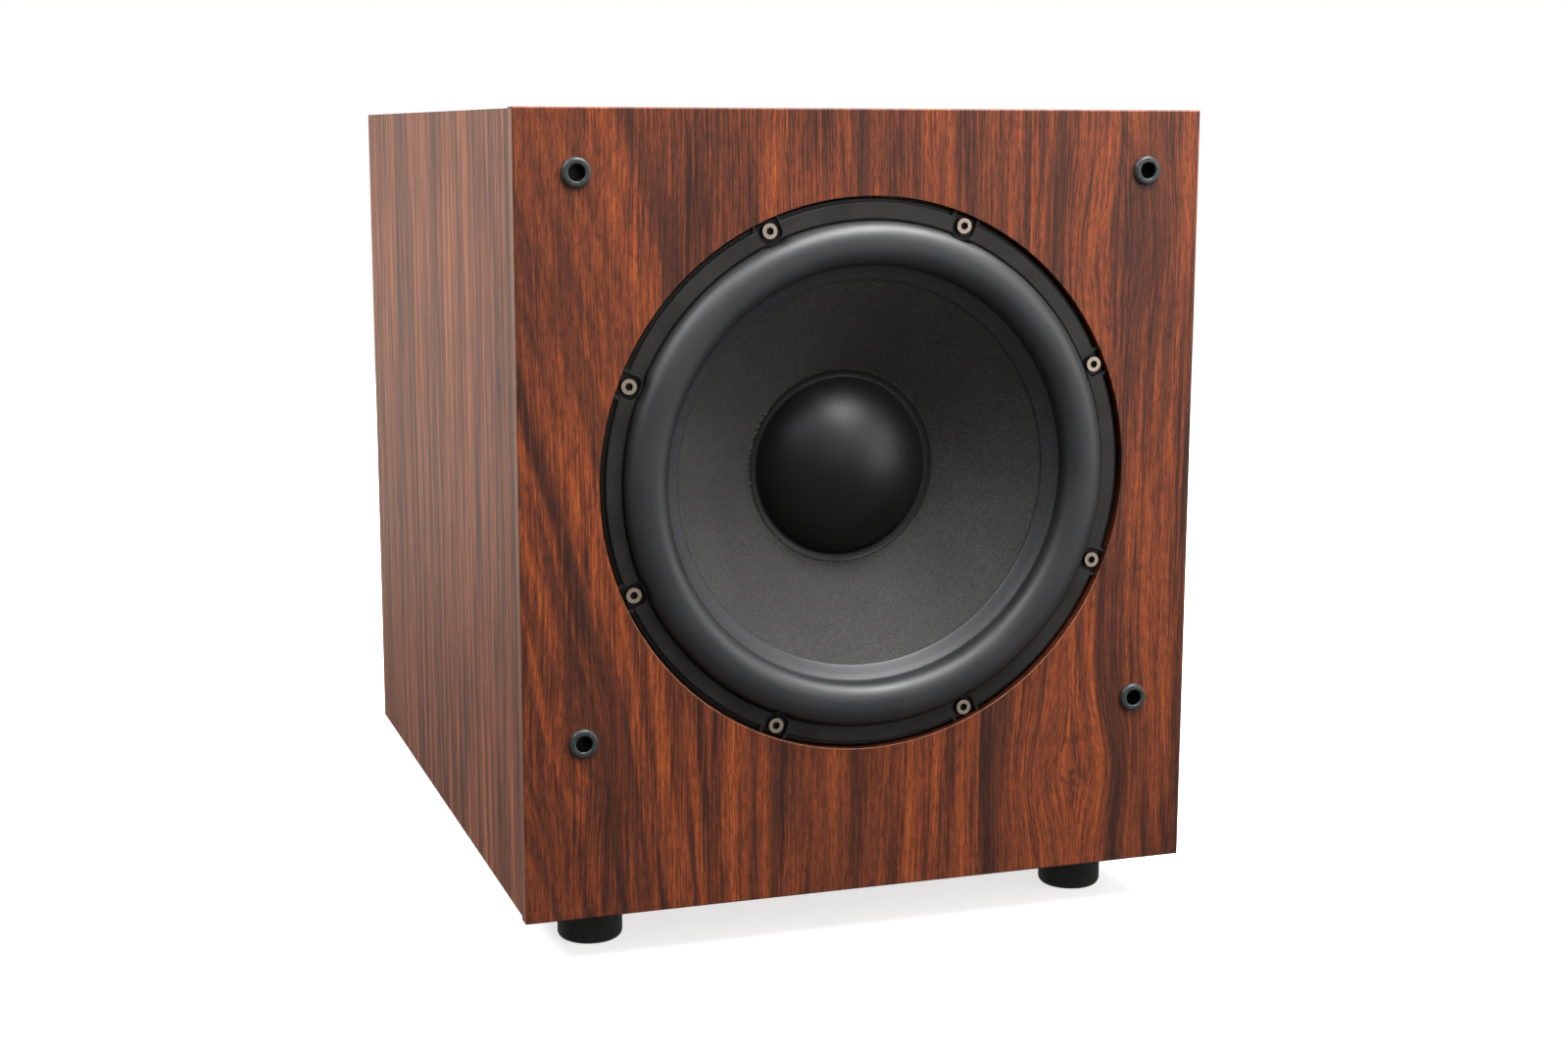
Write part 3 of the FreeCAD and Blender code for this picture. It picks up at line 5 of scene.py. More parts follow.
import bmesh
import bpy
from mathutils import Matrix, Vector
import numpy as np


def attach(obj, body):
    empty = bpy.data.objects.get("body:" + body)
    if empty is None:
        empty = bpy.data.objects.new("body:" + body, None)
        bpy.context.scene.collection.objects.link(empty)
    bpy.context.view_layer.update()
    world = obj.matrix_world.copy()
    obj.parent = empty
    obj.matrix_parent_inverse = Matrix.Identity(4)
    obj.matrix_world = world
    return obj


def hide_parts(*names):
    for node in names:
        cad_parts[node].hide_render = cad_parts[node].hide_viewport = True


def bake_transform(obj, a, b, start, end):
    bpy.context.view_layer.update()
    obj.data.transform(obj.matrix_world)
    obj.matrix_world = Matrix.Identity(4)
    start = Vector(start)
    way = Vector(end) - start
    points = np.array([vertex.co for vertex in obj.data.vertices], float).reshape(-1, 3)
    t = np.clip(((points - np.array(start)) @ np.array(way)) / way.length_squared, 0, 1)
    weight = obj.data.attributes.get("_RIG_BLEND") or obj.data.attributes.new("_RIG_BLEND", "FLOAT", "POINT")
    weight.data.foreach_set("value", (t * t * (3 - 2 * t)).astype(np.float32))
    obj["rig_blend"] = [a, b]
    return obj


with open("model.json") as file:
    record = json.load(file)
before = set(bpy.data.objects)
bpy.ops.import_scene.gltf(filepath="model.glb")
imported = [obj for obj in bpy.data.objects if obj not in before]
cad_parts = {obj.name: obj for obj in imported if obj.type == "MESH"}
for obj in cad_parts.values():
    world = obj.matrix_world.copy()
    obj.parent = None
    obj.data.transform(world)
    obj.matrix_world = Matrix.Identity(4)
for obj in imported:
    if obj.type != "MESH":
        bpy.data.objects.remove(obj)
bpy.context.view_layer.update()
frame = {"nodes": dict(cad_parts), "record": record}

NODES = frame["nodes"]
FY = -0.2555           # front face
BZ = 0.0276            # underside of the box
DZ = BZ + 0.2388       # driver axis
AZ = BZ + 0.2000       # amplifier centre
PHASE = math.radians(23.3)
rng = random.Random(7)


def lin(c):
    """An 8-bit display colour as linear values."""
    out = []
    for v in c:
        v = v / 255.0
        out.append(v / 12.92 if v <= 0.04045 else ((v + 0.055) / 1.055) ** 2.4)
    return (out[0], out[1], out[2], 1.0)


# ------------------------------------------------------------------ materials
class Mat:
    def __init__(self, name, rough=0.5, metal=0.0, spec=0.5, coat=0.0, coat_rough=0.1,
                 sheen=0.0):
        self.m = bpy.data.materials.new(name)
        self.m.use_nodes = True
        self.t = self.m.node_tree
        self.t.nodes.clear()
        out = self.t.nodes.new("ShaderNodeOutputMaterial")
        self.b = self.t.nodes.new("ShaderNodeBsdfPrincipled")
        self.t.links.new(self.b.outputs[0], out.inputs[0])
        i = self.b.inputs
        i["Roughness"].default_value = rough
        i["Metallic"].default_value = metal
        i["Specular IOR Level"].default_value = spec
        i["Coat Weight"].default_value = coat
        i["Coat Roughness"].default_value = coat_rough
        i["Sheen Weight"].default_value = sheen

    def put(self, sock, v):
        if isinstance(v, bpy.types.NodeSocket):
            self.t.links.new(v, sock)
        elif isinstance(v, (tuple, list)) and len(v) == 3 and sock.type == "RGBA":
            sock.default_value = (v[0], v[1], v[2], 1.0)
        else:
            sock.default_value = v

    def coord(self, kind="Object"):
        return self.t.nodes.new("ShaderNodeTexCoord").outputs[kind]

    def sep(self, v):
        n = self.t.nodes.new("ShaderNodeSeparateXYZ")
        self.t.links.new(v, n.inputs[0])
        return n.outputs[0], n.outputs[1], n.outputs[2]

    def comb(self, x=0.0, y=0.0, z=0.0):
        n = self.t.nodes.new("ShaderNodeCombineXYZ")
        for k, v in enumerate((x, y, z)):
            self.put(n.inputs[k], v)
        return n.outputs[0]

    def op(self, kind, a, b=0.0, c=0.0, clamp=False):
        n = self.t.nodes.new("ShaderNodeMath")
        n.operation = kind
        n.use_clamp = clamp
        self.put(n.inputs[0], a)
        self.put(n.inputs[1], b)
        self.put(n.inputs[2], c)
        return n.outputs[0]

    def add(self, a, b):
        return self.op("ADD", a, b)

    def sub(self, a, b):
        return self.op("SUBTRACT", a, b)

    def mul(self, a, b):
        return self.op("MULTIPLY", a, b)

    def span(self, v, a, b, c=0.0, d=1.0):
        n = self.t.nodes.new("ShaderNodeMapRange")
        n.interpolation_type = "SMOOTHSTEP"
        self.put(n.inputs[0], v)
        for k, x in enumerate((a, b, c, d)):
            n.inputs[k + 1].default_value = x
        return n.outputs[0]

    def noise(self, vec, scale=1.0, detail=2.0, rough=0.5, dist=0.0):
        n = self.t.nodes.new("ShaderNodeTexNoise")
        self.put(n.inputs["Vector"], vec)
        n.inputs["Scale"].default_value = scale
        n.inputs["Detail"].default_value = detail
        n.inputs["Roughness"].default_value = rough
        n.inputs["Distortion"].default_value = dist
        return n.outputs[0]

    def voronoi(self, vec, scale=1.0):
        n = self.t.nodes.new("ShaderNodeTexVoronoi")
        self.put(n.inputs["Vector"], vec)
        n.inputs["Scale"].default_value = scale
        return n.outputs["Distance"]

    def ramp(self, fac, stops):
        n = self.t.nodes.new("ShaderNodeValToRGB")
        self.put(n.inputs[0], fac)
        el = n.color_ramp.elements
        while len(el) > 1:
            el.remove(el[-1])
        el[0].position = stops[0][0]
        el[0].color = stops[0][1]
        for p, c in stops[1:]:
            e = el.new(p)
            e.color = c
        return n.outputs[0]

    def mix(self, fac, a, b, kind="MIX"):
        n = self.t.nodes.new("ShaderNodeMix")
        n.data_type = "RGBA"
        n.blend_type = kind
        self.put(n.inputs[0], fac)
        self.put(n.inputs[6], a)
        self.put(n.inputs[7], b)
        return n.outputs[2]

    def bump(self, height, strength=0.3, distance=0.0005, under=None):
        n = self.t.nodes.new("ShaderNodeBump")
        n.inputs["Strength"].default_value = strength
        n.inputs["Distance"].default_value = distance
        self.put(n.inputs["Height"], height)
        if under is not None:
            self.t.links.new(under, n.inputs["Normal"])
        return n.outputs[0]

    def done(self, color=None, rough=None, normal=None, metal=None):
        if color is not None:
            self.put(self.b.inputs["Base Color"], color)
        if rough is not None:
            self.put(self.b.inputs["Roughness"], rough)
        if normal is not None:
            self.t.links.new(normal, self.b.inputs["Normal"])
        if metal is not None:
            self.put(self.b.inputs["Metallic"], metal)
        return self.m


def layers(M, uu, v, table):
    """Noise stretched along the grain at several sizes, about 0.5."""
    tone = None
    for k, (ku, kv, w) in enumerate(table):
        n = M.noise(M.comb(M.mul(uu, ku), 1.7 * k + 0.9, M.mul(v, kv)), 1.0, 1.0, 0.5)
        t = M.mul(M.sub(n, 0.5), w)
        tone = t if tone is None else M.add(tone, t)
    return M.add(tone, 0.5)


def grain(M, u, v, straight):
    """Wood print: u runs across the grain, v along it. Returns tone, fine lines, pores, bands."""
    if straight:
        w = M.mul(M.sub(M.noise(M.comb(M.mul(u, 3.0), 0.0, M.mul(v, 0.9)), 1.0, 2.0), 0.5), 0.012)
        uu = M.add(u, w)
        tone = layers(M, uu, v, ((14.0, 2.0, 0.18), (40.0, 2.4, 0.22), (110.0, 3.6, 0.46), (260.0, 7.0, 0.76),
                                 (620.0, 20.0, 0.46), (1300.0, 60.0, 0.30)))
        bands = M.span(M.noise(M.comb(M.mul(uu, 30.0), 9.4, M.mul(v, 2.0)), 1.0, 2.0, 0.5), 0.48, 0.64)
    else:
        w = M.mul(M.sub(M.noise(M.comb(M.mul(u, 5.0), 3.7, M.mul(v, 2.4)), 1.0, 2.0), 0.5), 0.020)
        wob = M.mul(M.sub(M.noise(M.comb(M.mul(u, 60.0), 6.1, M.mul(v, 14.0)), 1.0, 1.0), 0.5), 0.0012)
        uu = M.add(M.add(u, w), wob)
        # soft swirls that the lines bow round
        for ku, kv, su, sv, k in ((0.128, 0.086, 0.026, 0.034, 0.75), (0.150, 0.385, 0.026, 0.045, 0.45),
                                  (-0.172, 0.120, 0.020, 0.050, 0.55)):
            du = M.sub(u, ku)
            dv = M.sub(v, kv)
            e = M.add(M.mul(M.mul(du, du), 1.0 / (su * su)), M.mul(M.mul(dv, dv), 1.0 / (sv * sv)))
            g = M.mul(M.op("EXPONENT", M.mul(e, -1.0)), k)
            uu = M.sub(uu, M.mul(du, g))
        # the broad figure leans on the left part of the board, most towards the top
        ub = M.add(uu, M.mul(M.span(u, -0.05, -0.18, 0.0, 0.26), M.sub(v, 0.24)))
        tone = M.sub(M.add(layers(M, ub, v, ((17.0, 2.4, 0.22), (52.0, 3.0, 0.46), (140.0, 5.0, 0.36))),
                           layers(M, uu, v, ((380.0, 9.0, 0.24), (900.0, 17.0, 0.36), (1700.0, 40.0, 0.38)))), 0.5)
        broad = M.span(M.noise(M.comb(M.mul(ub, 24.0), 9.4, M.mul(v, 1.8)), 1.0, 2.0, 0.5), 0.47, 0.64)
        narrow = M.span(M.noise(M.comb(M.mul(ub, 74.0), 2.2, M.mul(v, 3.6)), 1.0, 1.0, 0.5), 0.53, 0.67)
        bands = M.op("MAXIMUM", M.mul(broad, 0.70), M.mul(narrow, 1.15))
        bands = M.mul(bands, M.span(u, -0.02, 0.08, 1.0, 0.62))
    lines = M.noise(M.comb(M.mul(uu, 620.0), 4.1, M.mul(v, 40.0)), 1.0, 2.0, 0.6)
    pores = M.noise(M.comb(M.mul(uu, 1150.0), 0.0, M.mul(v, 90.0)), 1.0, 1.0, 0.5)
    hairs = M.noise(M.comb(M.mul(uu, 2200.0), 5.5, M.mul(v, 200.0)), 1.0, 0.0, 0.5)
    pore = M.op("MAXIMUM", M.mul(M.span(pores, 0.54, 0.66), 0.70), M.mul(M.span(hairs, 0.53, 0.64), 0.85))
    return tone, lines, pore, bands


def wood_front():
    M = Mat("rosewood_front", rough=0.42, spec=0.38)
    x, y, z = M.sep(M.coord())
    nx, ny, nz = M.sep(M.coord("Normal"))
    tone, lines, pore, bands = grain(M, x, z, False)
    col = M.ramp(tone, [(0.33, lin((62, 31, 21))), (0.42, lin((102, 50, 30))), (0.50, lin((134, 65, 36))),
                        (0.58, lin((160, 77, 38))), (0.68, lin((186, 93, 43))), (0.82, lin((206, 112, 58)))])
    col = M.mix(M.mul(bands, 0.56), col, lin((68, 37, 28)))
    col = M.mix(M.mul(pore, 0.62), col, lin((44, 22, 16)))
    # the board's own side edges take a paler, greyer copy of the wood, lighter still towards the top: painted sheen
    side = M.op("GREATER_THAN", M.op("ABSOLUTE", nx), 0.85)
    far = M.op("GREATER_THAN", M.op("ABSOLUTE", x), 0.1985)
    edge = M.mul(side, far)
    etone = M.noise(M.comb(M.mul(y, 600.0), 0.0, M.mul(z, 9.0)), 1.0, 2.0)
    edge_col_with_sheen = M.ramp(etone, [(0.3, lin((96, 64, 50))), (0.5, lin((120, 80, 62))), (0.7, lin((144, 98, 76)))])
    # painted sheen: the edge is lighter towards its top
    edge_col_with_sheen = M.mix(M.span(z, 0.46, 0.25, 0.36, 0.0), edge_col_with_sheen, lin((168, 128, 106)))
    # painted highlight: a thin pale line along the front arris of the edge
    edge_col_with_sheen = M.mix(M.mul(M.span(y, FY + 0.0022, FY + 0.0006), 0.7), edge_col_with_sheen, lin((158, 88, 62)))
    # a dark joint where the board meets the wrapped side
    edge_col_with_sheen = M.mix(M.mul(M.span(y, FY + 0.0085, FY + 0.0096), 0.6), edge_col_with_sheen, lin((74, 50, 42)))
    col = M.mix(edge, col, edge_col_with_sheen)
    # painted shade: the board's top face, where the wrap turns over, is darkened
    col = M.mix(M.mul(M.op("GREATER_THAN", nz, 0.85), M.op("GREATER_THAN", z, BZ + 0.4400)), col, lin((62, 36, 27)))
    # the rebate wall takes a darker wood tone, darkening further deeper into the rebate as painted shade
    r2 = M.add(M.mul(x, x), M.mul(M.sub(z, DZ), M.sub(z, DZ)))
    wall = M.mul(M.op("LESS_THAN", r2, 0.1560 ** 2), M.op("LESS_THAN", M.op("ABSOLUTE", ny), 0.5))
    wall_col_with_shade = M.ramp(tone, [(0.3, lin((58, 30, 22))), (0.7, lin((126, 62, 40)))])
    # painted shade: the wall goes near black deeper into the rebate
    wall_col_with_shade = M.mix(M.span(y, FY + 0.0030, FY + 0.0080), wall_col_with_shade, lin((20, 12, 10)))
    col = M.mix(wall, col, wall_col_with_shade)
    # painted highlight: a pale line along the lower arris of the rebate, strongest at the bottom
    rebate_arris_highlight = M.mul(M.op("LESS_THAN", r2, 0.15615 ** 2), M.span(M.sub(z, DZ), -0.04, -0.10))
    rebate_arris_highlight = M.mul(rebate_arris_highlight, M.op("GREATER_THAN", M.op("ABSOLUTE", ny), 0.5))
    col = M.mix(rebate_arris_highlight, col, M.ramp(lines, [(0.3, lin((150, 92, 68))), (0.7, lin((214, 150, 120)))]))
    h = M.add(M.mul(lines, 0.5), M.mul(pore, -1.0))
    return M.done(col, M.span(lines, 0.2, 0.8, 0.40, 0.50), M.bump(h, 0.14, 0.0002))


def wood_side(name, across):
    M = Mat(name, rough=0.44, spec=0.30)
    x, y, z = M.sep(M.coord())
    nx, ny, nz = M.sep(M.coord("Normal"))
    u, v = (M.add(x, y), z) if across == "z" else (M.add(y, z), x)
    tone, lines, pore, bands = grain(M, u, v, True)
    col = M.ramp(tone, [(0.32, lin((70, 38, 29))), (0.43, lin((108, 60, 43))), (0.50, lin((130, 73, 50))),
                        (0.58, lin((152, 87, 58))), (0.70, lin((182, 110, 74)))])
    col = M.mix(M.mul(bands, 0.30), col, lin((74, 48, 40)))
    col = M.mix(M.mul(pore, 0.30), col, lin((54, 32, 25)))
    # painted shade: the side darkens a little towards its foot
    if across == "z":
        col = M.mix(M.span(z, 0.44, 0.06, 0.0, 0.14), col, lin((74, 38, 26)))
    else:
        # painted shade: the top and bottom panels are darkened all over
        col = M.mix(0.20, col, lin((60, 34, 26)))
    # the back edges are browner
    col = M.mix(M.mul(M.op("GREATER_THAN", ny, 0.6), 0.25), col, lin((84, 46, 34)))
    h = M.add(M.mul(lines, 0.5), M.mul(pore, -1.0))
    return M.done(col, M.span(lines, 0.2, 0.8, 0.40, 0.50), M.bump(h, 0.14, 0.0002))


def fibreboard():
    M = Mat("raw_fibreboard", rough=0.85, spec=0.2)
    c = M.coord()
    n = M.noise(c, 900.0, 3.0, 0.7)
    n2 = M.noise(c, 60.0, 2.0, 0.5)
    col = M.ramp(M.add(M.mul(n, 0.7), M.mul(n2, 0.3)), [(0.3, lin((138, 104, 70))), (0.7, lin((188, 152, 112)))])
    return M.done(col, None, M.bump(n, 0.3, 0.0004))


def speckled(name, dark, light, rough=0.5, metal=0.0, scale=900.0, bump=0.15, dist=0.0002,
             spec=0.5, coat=0.0, rough_var=0.08, coat_rough=0.1, sheen=0.0):
    """A plain moulded, cast or painted finish with a fine uneven texture."""
    M = Mat(name, rough=rough, metal=metal, spec=spec, coat=coat, coat_rough=coat_rough, sheen=sheen)
    c = M.coord()
    fine = M.noise(c, scale, 3.0, 0.6)
    broad = M.noise(c, scale * 0.03, 2.0, 0.5)
    f = M.add(M.mul(fine, 0.55), M.mul(broad, 0.45))
    col = M.ramp(f, [(0.30, lin(dark)), (0.70, lin(light))])
    r = M.span(broad, 0.3, 0.7, rough - rough_var, rough + rough_var)
    return M.done(col, r, M.bump(fine, bump, dist))


def turned_metal(name, dark, light, rough=0.3, pitch=2600.0, centre=(0.0, DZ)):
    """Turned steel: fine rings about the driver's axis."""
    M = Mat(name, rough=rough, metal=1.0)
    x, y, z = M.sep(M.coord())
    dx = M.sub(x, centre[0])
    dz = M.sub(z, centre[1])
    r = M.op("SQRT", M.add(M.mul(dx, dx), M.mul(dz, dz)))
    n = M.noise(M.comb(M.mul(r, pitch), M.mul(y, pitch), 0.0), 1.0, 2.0)
    col = M.ramp(n, [(0.3, lin(dark)), (0.7, lin(light))])
    return M.done(col, M.span(n, 0.3, 0.7, rough - 0.06, rough + 0.08), M.bump(n, 0.10, 0.0001))


def brushed(name, dark, light, rough=0.3, axis=0, metal=1.0):
    M = Mat(name, rough=rough, metal=metal)
    x, y, z = M.sep(M.coord())
    k = [3000.0, 3000.0, 3000.0]
    k[axis] = 60.0
    n = M.noise(M.comb(M.mul(x, k[0]), M.mul(y, k[1]), M.mul(z, k[2])), 1.0, 2.0)
    col = M.ramp(n, [(0.3, lin(dark)), (0.7, lin(light))])
    return M.done(col, M.span(n, 0.3, 0.7, rough - 0.05, rough + 0.08), M.bump(n, 0.08, 0.0001))


def cone_cloth():
    M = Mat("cone_fibre", rough=0.62, spec=0.38)
    c = M.coord()
    x, y, z = M.sep(c)
    j = M.mul(M.sub(M.noise(c, 260.0, 2.0), 0.5), 0.0010)
    p = 2.0 * math.pi / 0.0013
    a = M.op("SINE", M.mul(M.add(x, j), p))
    b = M.op("SINE", M.mul(M.add(z, j), p))
    weave = M.add(M.mul(M.mul(a, b), 0.5), 0.5)
    fuzz = M.noise(c, 1500.0, 3.0, 0.7)
    broad = M.noise(c, 22.0, 2.0, 0.5)
    nubs = M.noise(M.comb(M.mul(x, 900.0), M.mul(y, 900.0), M.mul(z, 1300.0)), 1.0, 1.0, 0.5)
    f = M.add(M.add(M.mul(weave, 0.26), M.mul(fuzz, 0.36)), M.add(M.mul(broad, 0.10), M.mul(nubs, 0.28)))
    col = M.ramp(f, [(0.30, lin((21, 21, 19))), (0.50, lin((53, 53, 50))), (0.70, lin((101, 100, 95)))])
    h = M.add(M.mul(weave, 0.6), M.add(M.mul(fuzz, 0.4), M.mul(nubs, 0.4)))
    return M.done(col, M.span(fuzz, 0.3, 0.7, 0.58, 0.72), M.bump(h, 0.85, 0.0004))


def roll_rubber():
    M = Mat("roll_rubber", rough=0.50, spec=0.95)
    c = M.coord()
    n = M.noise(c, 700.0, 3.0, 0.6)
    b = M.noise(c, 30.0, 2.0)
    col = M.ramp(M.add(M.mul(n, 0.5), M.mul(b, 0.5)), [(0.3, lin((20, 21, 23))), (0.7, lin((31, 32, 35)))])
    return M.done(col, M.span(b, 0.3, 0.7, 0.47, 0.53), M.bump(n, 0.06, 0.0001))


def band_rubber():
    M = Mat("band_rubber", rough=0.40, spec=0.5)
    c = M.coord()
    n = M.noise(c, 900.0, 3.0, 0.6)
    col = M.ramp(n, [(0.3, lin((42, 42, 44))), (0.7, lin((67, 67, 70)))])
    return M.done(col, M.span(n, 0.3, 0.7, 0.40, 0.48), M.bump(n, 0.08, 0.0001))


def cap_gloss():
    M = Mat("cap_plastic", rough=0.38, spec=0.5)
    c = M.coord()
    n = M.noise(c, 500.0, 3.0, 0.6)
    b = M.noise(c, 18.0, 2.0)
    col = M.ramp(b, [(0.3, lin((11, 11, 11))), (0.7, lin((18, 17, 17)))])
    return M.done(col, M.span(b, 0.3, 0.7, 0.40, 0.45), M.bump(n, 0.03, 0.0001))


def board_green():
    M = Mat("circuit_board", rough=0.35, spec=0.5)
    x, y, z = M.sep(M.coord())
    tr = M.voronoi(M.comb(M.mul(x, 110.0), 0.0, M.mul(z, 110.0)))
    col = M.ramp(tr, [(0.05, lin((176, 190, 120))), (0.12, lin((16, 74, 40))), (0.6, lin((10, 54, 30)))])
    return M.done(col, None, M.bump(tr, 0.15, 0.0002))


def wadding():
    M = Mat("wadding", rough=0.95, spec=0.1, sheen=0.4)
    c = M.coord()
    n = M.noise(c, 240.0, 5.0, 0.75, 0.6)
    col = M.ramp(n, [(0.25, lin((196, 196, 190))), (0.7, lin((240, 240, 236)))])
    return M.done(col, None, M.bump(n, 0.9, 0.003))


def cloth(name, dark, light):
    M = Mat(name, rough=0.8, spec=0.2, sheen=0.2)
    x, y, z = M.sep(M.coord())
    p = 2.0 * math.pi / 0.0012
    w = M.mul(M.op("SINE", M.mul(x, p)), M.op("SINE", M.mul(z, p)))
    n = M.noise(M.coord(), 600.0, 3.0, 0.6)
    f = M.add(M.mul(w, 0.2), n)
    return M.done(M.ramp(f, [(0.3, lin(dark)), (0.75, lin(light))]), None, M.bump(f, 0.4, 0.0003))


def wound(name, dark, light, centre, metal=0.0, rough=0.4, turns=700.0, radial=False):
    """Winding or tape laid side by side."""
    M = Mat(name, rough=rough, metal=metal)
    x, y, z = M.sep(M.coord())
    if radial:
        a = M.op("ARCTAN2", M.sub(z, centre[1]), M.sub(x, centre[0]))
        s = M.op("SINE", M.mul(a, turns))
    else:
        s = M.op("SINE", M.mul(y, turns))
    n = M.noise(M.coord(), 500.0, 2.0)
    f = M.add(M.mul(s, 0.25), M.mul(n, 0.9))
    return M.done(M.ramp(f, [(0.2, lin(dark)), (0.7, lin(light))]), None, M.bump(s, 0.4, 0.0003))


def glue_line():
    """Dark cement with a few pale dried specks on one side."""
    M = Mat("cap_glue", rough=0.3, spec=0.5)
    c = M.coord()
    x, y, z = M.sep(c)
    n = M.noise(c, 420.0, 3.0, 0.7)
    col = M.ramp(n, [(0.3, lin((12, 12, 12))), (0.7, lin((34, 34, 32)))])
    speck = M.mul(M.span(M.noise(c, 800.0, 2.0, 0.6), 0.58, 0.66), M.span(x, -0.030, -0.046))
    col = M.mix(speck, col, lin((176, 176, 168)))
    return M.done(col, None, M.bump(n, 0.5, 0.0004))


def socket_plastic():
    """Grey moulded sockets, with painted shade down the bore."""
    M = Mat("socket_rubber", rough=0.30, spec=0.5)
    x, y, z = M.sep(M.coord())
    n = M.noise(M.coord(), 900.0, 2.0, 0.6)
    col = M.ramp(n, [(0.3, lin((46, 49, 49))), (0.7, lin((72, 76, 76)))])
    dx = M.sub(M.op("ABSOLUTE", x), 0.1665)
    dz = M.sub(M.op("ABSOLUTE", M.sub(z, BZ + 0.2536)), 0.15375)
    d = M.op("SQRT", M.add(M.mul(dx, dx), M.mul(dz, dz)))
    # painted shade: the bore goes near black below a set depth
    bore_shade = M.mul(M.op("LESS_THAN", d, 0.0049), M.span(y, FY - 0.0025, FY - 0.0014))
    col = M.mix(bore_shade, col, lin((7, 7, 7)))
    return M.done(col, M.span(n, 0.3, 0.7, 0.28, 0.34), M.bump(n, 0.04, 0.0001))


def printed_plate():
    """Textured black paint with printed scales round the controls and rings round the sockets. No lettering."""
    M = Mat("plate_paint", rough=0.5)
    c = M.coord()
    x, y, z = M.sep(c)
    nx, ny, nz = M.sep(M.coord("Normal"))
    fine = M.noise(c, 2000.0, 3.0, 0.6)
    broad = M.noise(c, 60.0, 2.0, 0.5)
    col = M.ramp(M.add(M.mul(fine, 0.55), M.mul(broad, 0.45)), [(0.30, lin((30, 30, 30))), (0.70, lin((46, 46, 46)))])

    def polar(cx, cz):
        dx = M.sub(x, cx)
        dz = M.sub(z, cz)
        return M.op("SQRT", M.add(M.mul(dx, dx), M.mul(dz, dz))), M.op("ARCTAN2", dx, dz)

    def ring(r, r0, r1):
        return M.mul(M.span(r, r0 - 0.0001, r0 + 0.0001), M.span(r, r1 + 0.0001, r1 - 0.0001))

    ink = None
    for cz in (0.3426, 0.2976):
        r, a = polar(-0.070, cz)
        step = math.radians(30.0)
        t = M.sub(M.op("FLOORED_MODULO", M.add(a, step / 2.0), step), step / 2.0)
        tick = M.mul(M.span(M.mul(M.op("ABSOLUTE", t), r), 0.00040, 0.00025), ring(r, 0.0122, 0.0146))
        tick = M.mul(tick, M.op("LESS_THAN", M.op("ABSOLUTE", a), math.radians(155.0)))
        ink = tick if ink is None else M.op("MAXIMUM", ink, tick)
    for cx in (-0.076, -0.050):
        for cz in (0.2156, 0.1876):
            r, a = polar(cx, cz)
            ink = M.op("MAXIMUM", ink, ring(r, 0.0078, 0.0083))
    # thin lines between the groups of controls
    for z0 in (0.2420, 0.1600):
        line = M.mul(M.span(M.op("ABSOLUTE", M.sub(z, z0)), 0.00030, 0.00015),
                     M.span(M.op("ABSOLUTE", M.sub(x, -0.063)), 0.0475, 0.0472))
        ink = M.op("MAXIMUM", ink, line)
    ink = M.mul(M.mul(ink, M.op("GREATER_THAN", ny, 0.9)), M.span(fine, 0.2, 0.5, 0.75, 1.0))
    col = M.mix(ink, col, lin((172, 172, 168)))
    return M.done(col, M.span(broad, 0.3, 0.7, 0.47, 0.53), M.bump(fine, 0.35, 0.0002))


def knob_plastic():
    """Matt black knobs with a white line let into the pointer slot."""
    M = Mat("knob_plastic", rough=0.5)
    c = M.coord()
    x, y, z = M.sep(c)
    fine = M.noise(c, 1500.0, 3.0, 0.6)
    col = M.ramp(fine, [(0.30, lin((26, 26, 26))), (0.70, lin((44, 44, 44)))])
    slot = M.op("LESS_THAN", M.op("ABSOLUTE", M.add(x, 0.070)), 0.00062)
    up = M.op("LESS_THAN", M.op("ABSOLUTE", M.sub(z, 0.3426 + 0.0060)), 0.0039)
    low = M.op("LESS_THAN", M.op("ABSOLUTE", M.sub(z, 0.2976 + 0.0060)), 0.0039)
    slot = M.mul(M.mul(slot, M.op("MAXIMUM", up, low)), M.op("GREATER_THAN", y, 0.2514))
    col = M.mix(slot, col, lin((214, 214, 208)))
    return M.done(col, M.span(fine, 0.3, 0.7, 0.44, 0.56), M.bump(fine, 0.2, 0.0002))


def screw_metal():
    """Nickelled socket screws; the drive recess and the head's flanks are darkened as painted shade."""
    M = Mat("driver_screw_metal", rough=0.30)
    x, y, z = M.sep(M.coord())
    dz = M.sub(z, DZ)
    a = M.sub(M.op("ARCTAN2", dz, x), PHASE - math.pi / 8.0)
    step = math.pi / 4.0
    a = M.sub(M.mul(M.op("FLOORED_MODULO", a, step), 1.0), step / 2.0)
    r = M.op("SQRT", M.add(M.mul(x, x), M.mul(dz, dz)))
    p = M.sub(M.mul(r, M.op("COSINE", a)), 0.149)
    q = M.mul(r, M.op("SINE", a))
    d = M.op("SQRT", M.add(M.mul(p, p), M.mul(q, q)))
    n = M.noise(M.comb(M.mul(d, 9000.0), M.mul(a, 40.0), M.mul(y, 9000.0)), 1.0, 2.0)
    col = M.ramp(n, [(0.3, lin((196, 174, 156))), (0.7, lin((246, 226, 208)))])
    # painted shade in the drive recess and on the head's flanks, less metallic there too
    recess_shade = M.mul(M.op("LESS_THAN", d, 0.0026), M.op("GREATER_THAN", y, FY + 0.0014))
    flank_shade = M.mul(M.op("GREATER_THAN", d, 0.0040), M.span(y, FY + 0.0014, FY + 0.0030))
    dark = M.op("MAXIMUM", recess_shade, flank_shade)
    col = M.mix(dark, col, lin((38, 30, 25)))
    return M.done(col, M.span(n, 0.3, 0.7, 0.30, 0.40), M.bump(n, 0.08, 0.0001), M.span(dark, 0.0, 1.0, 1.0, 0.3))


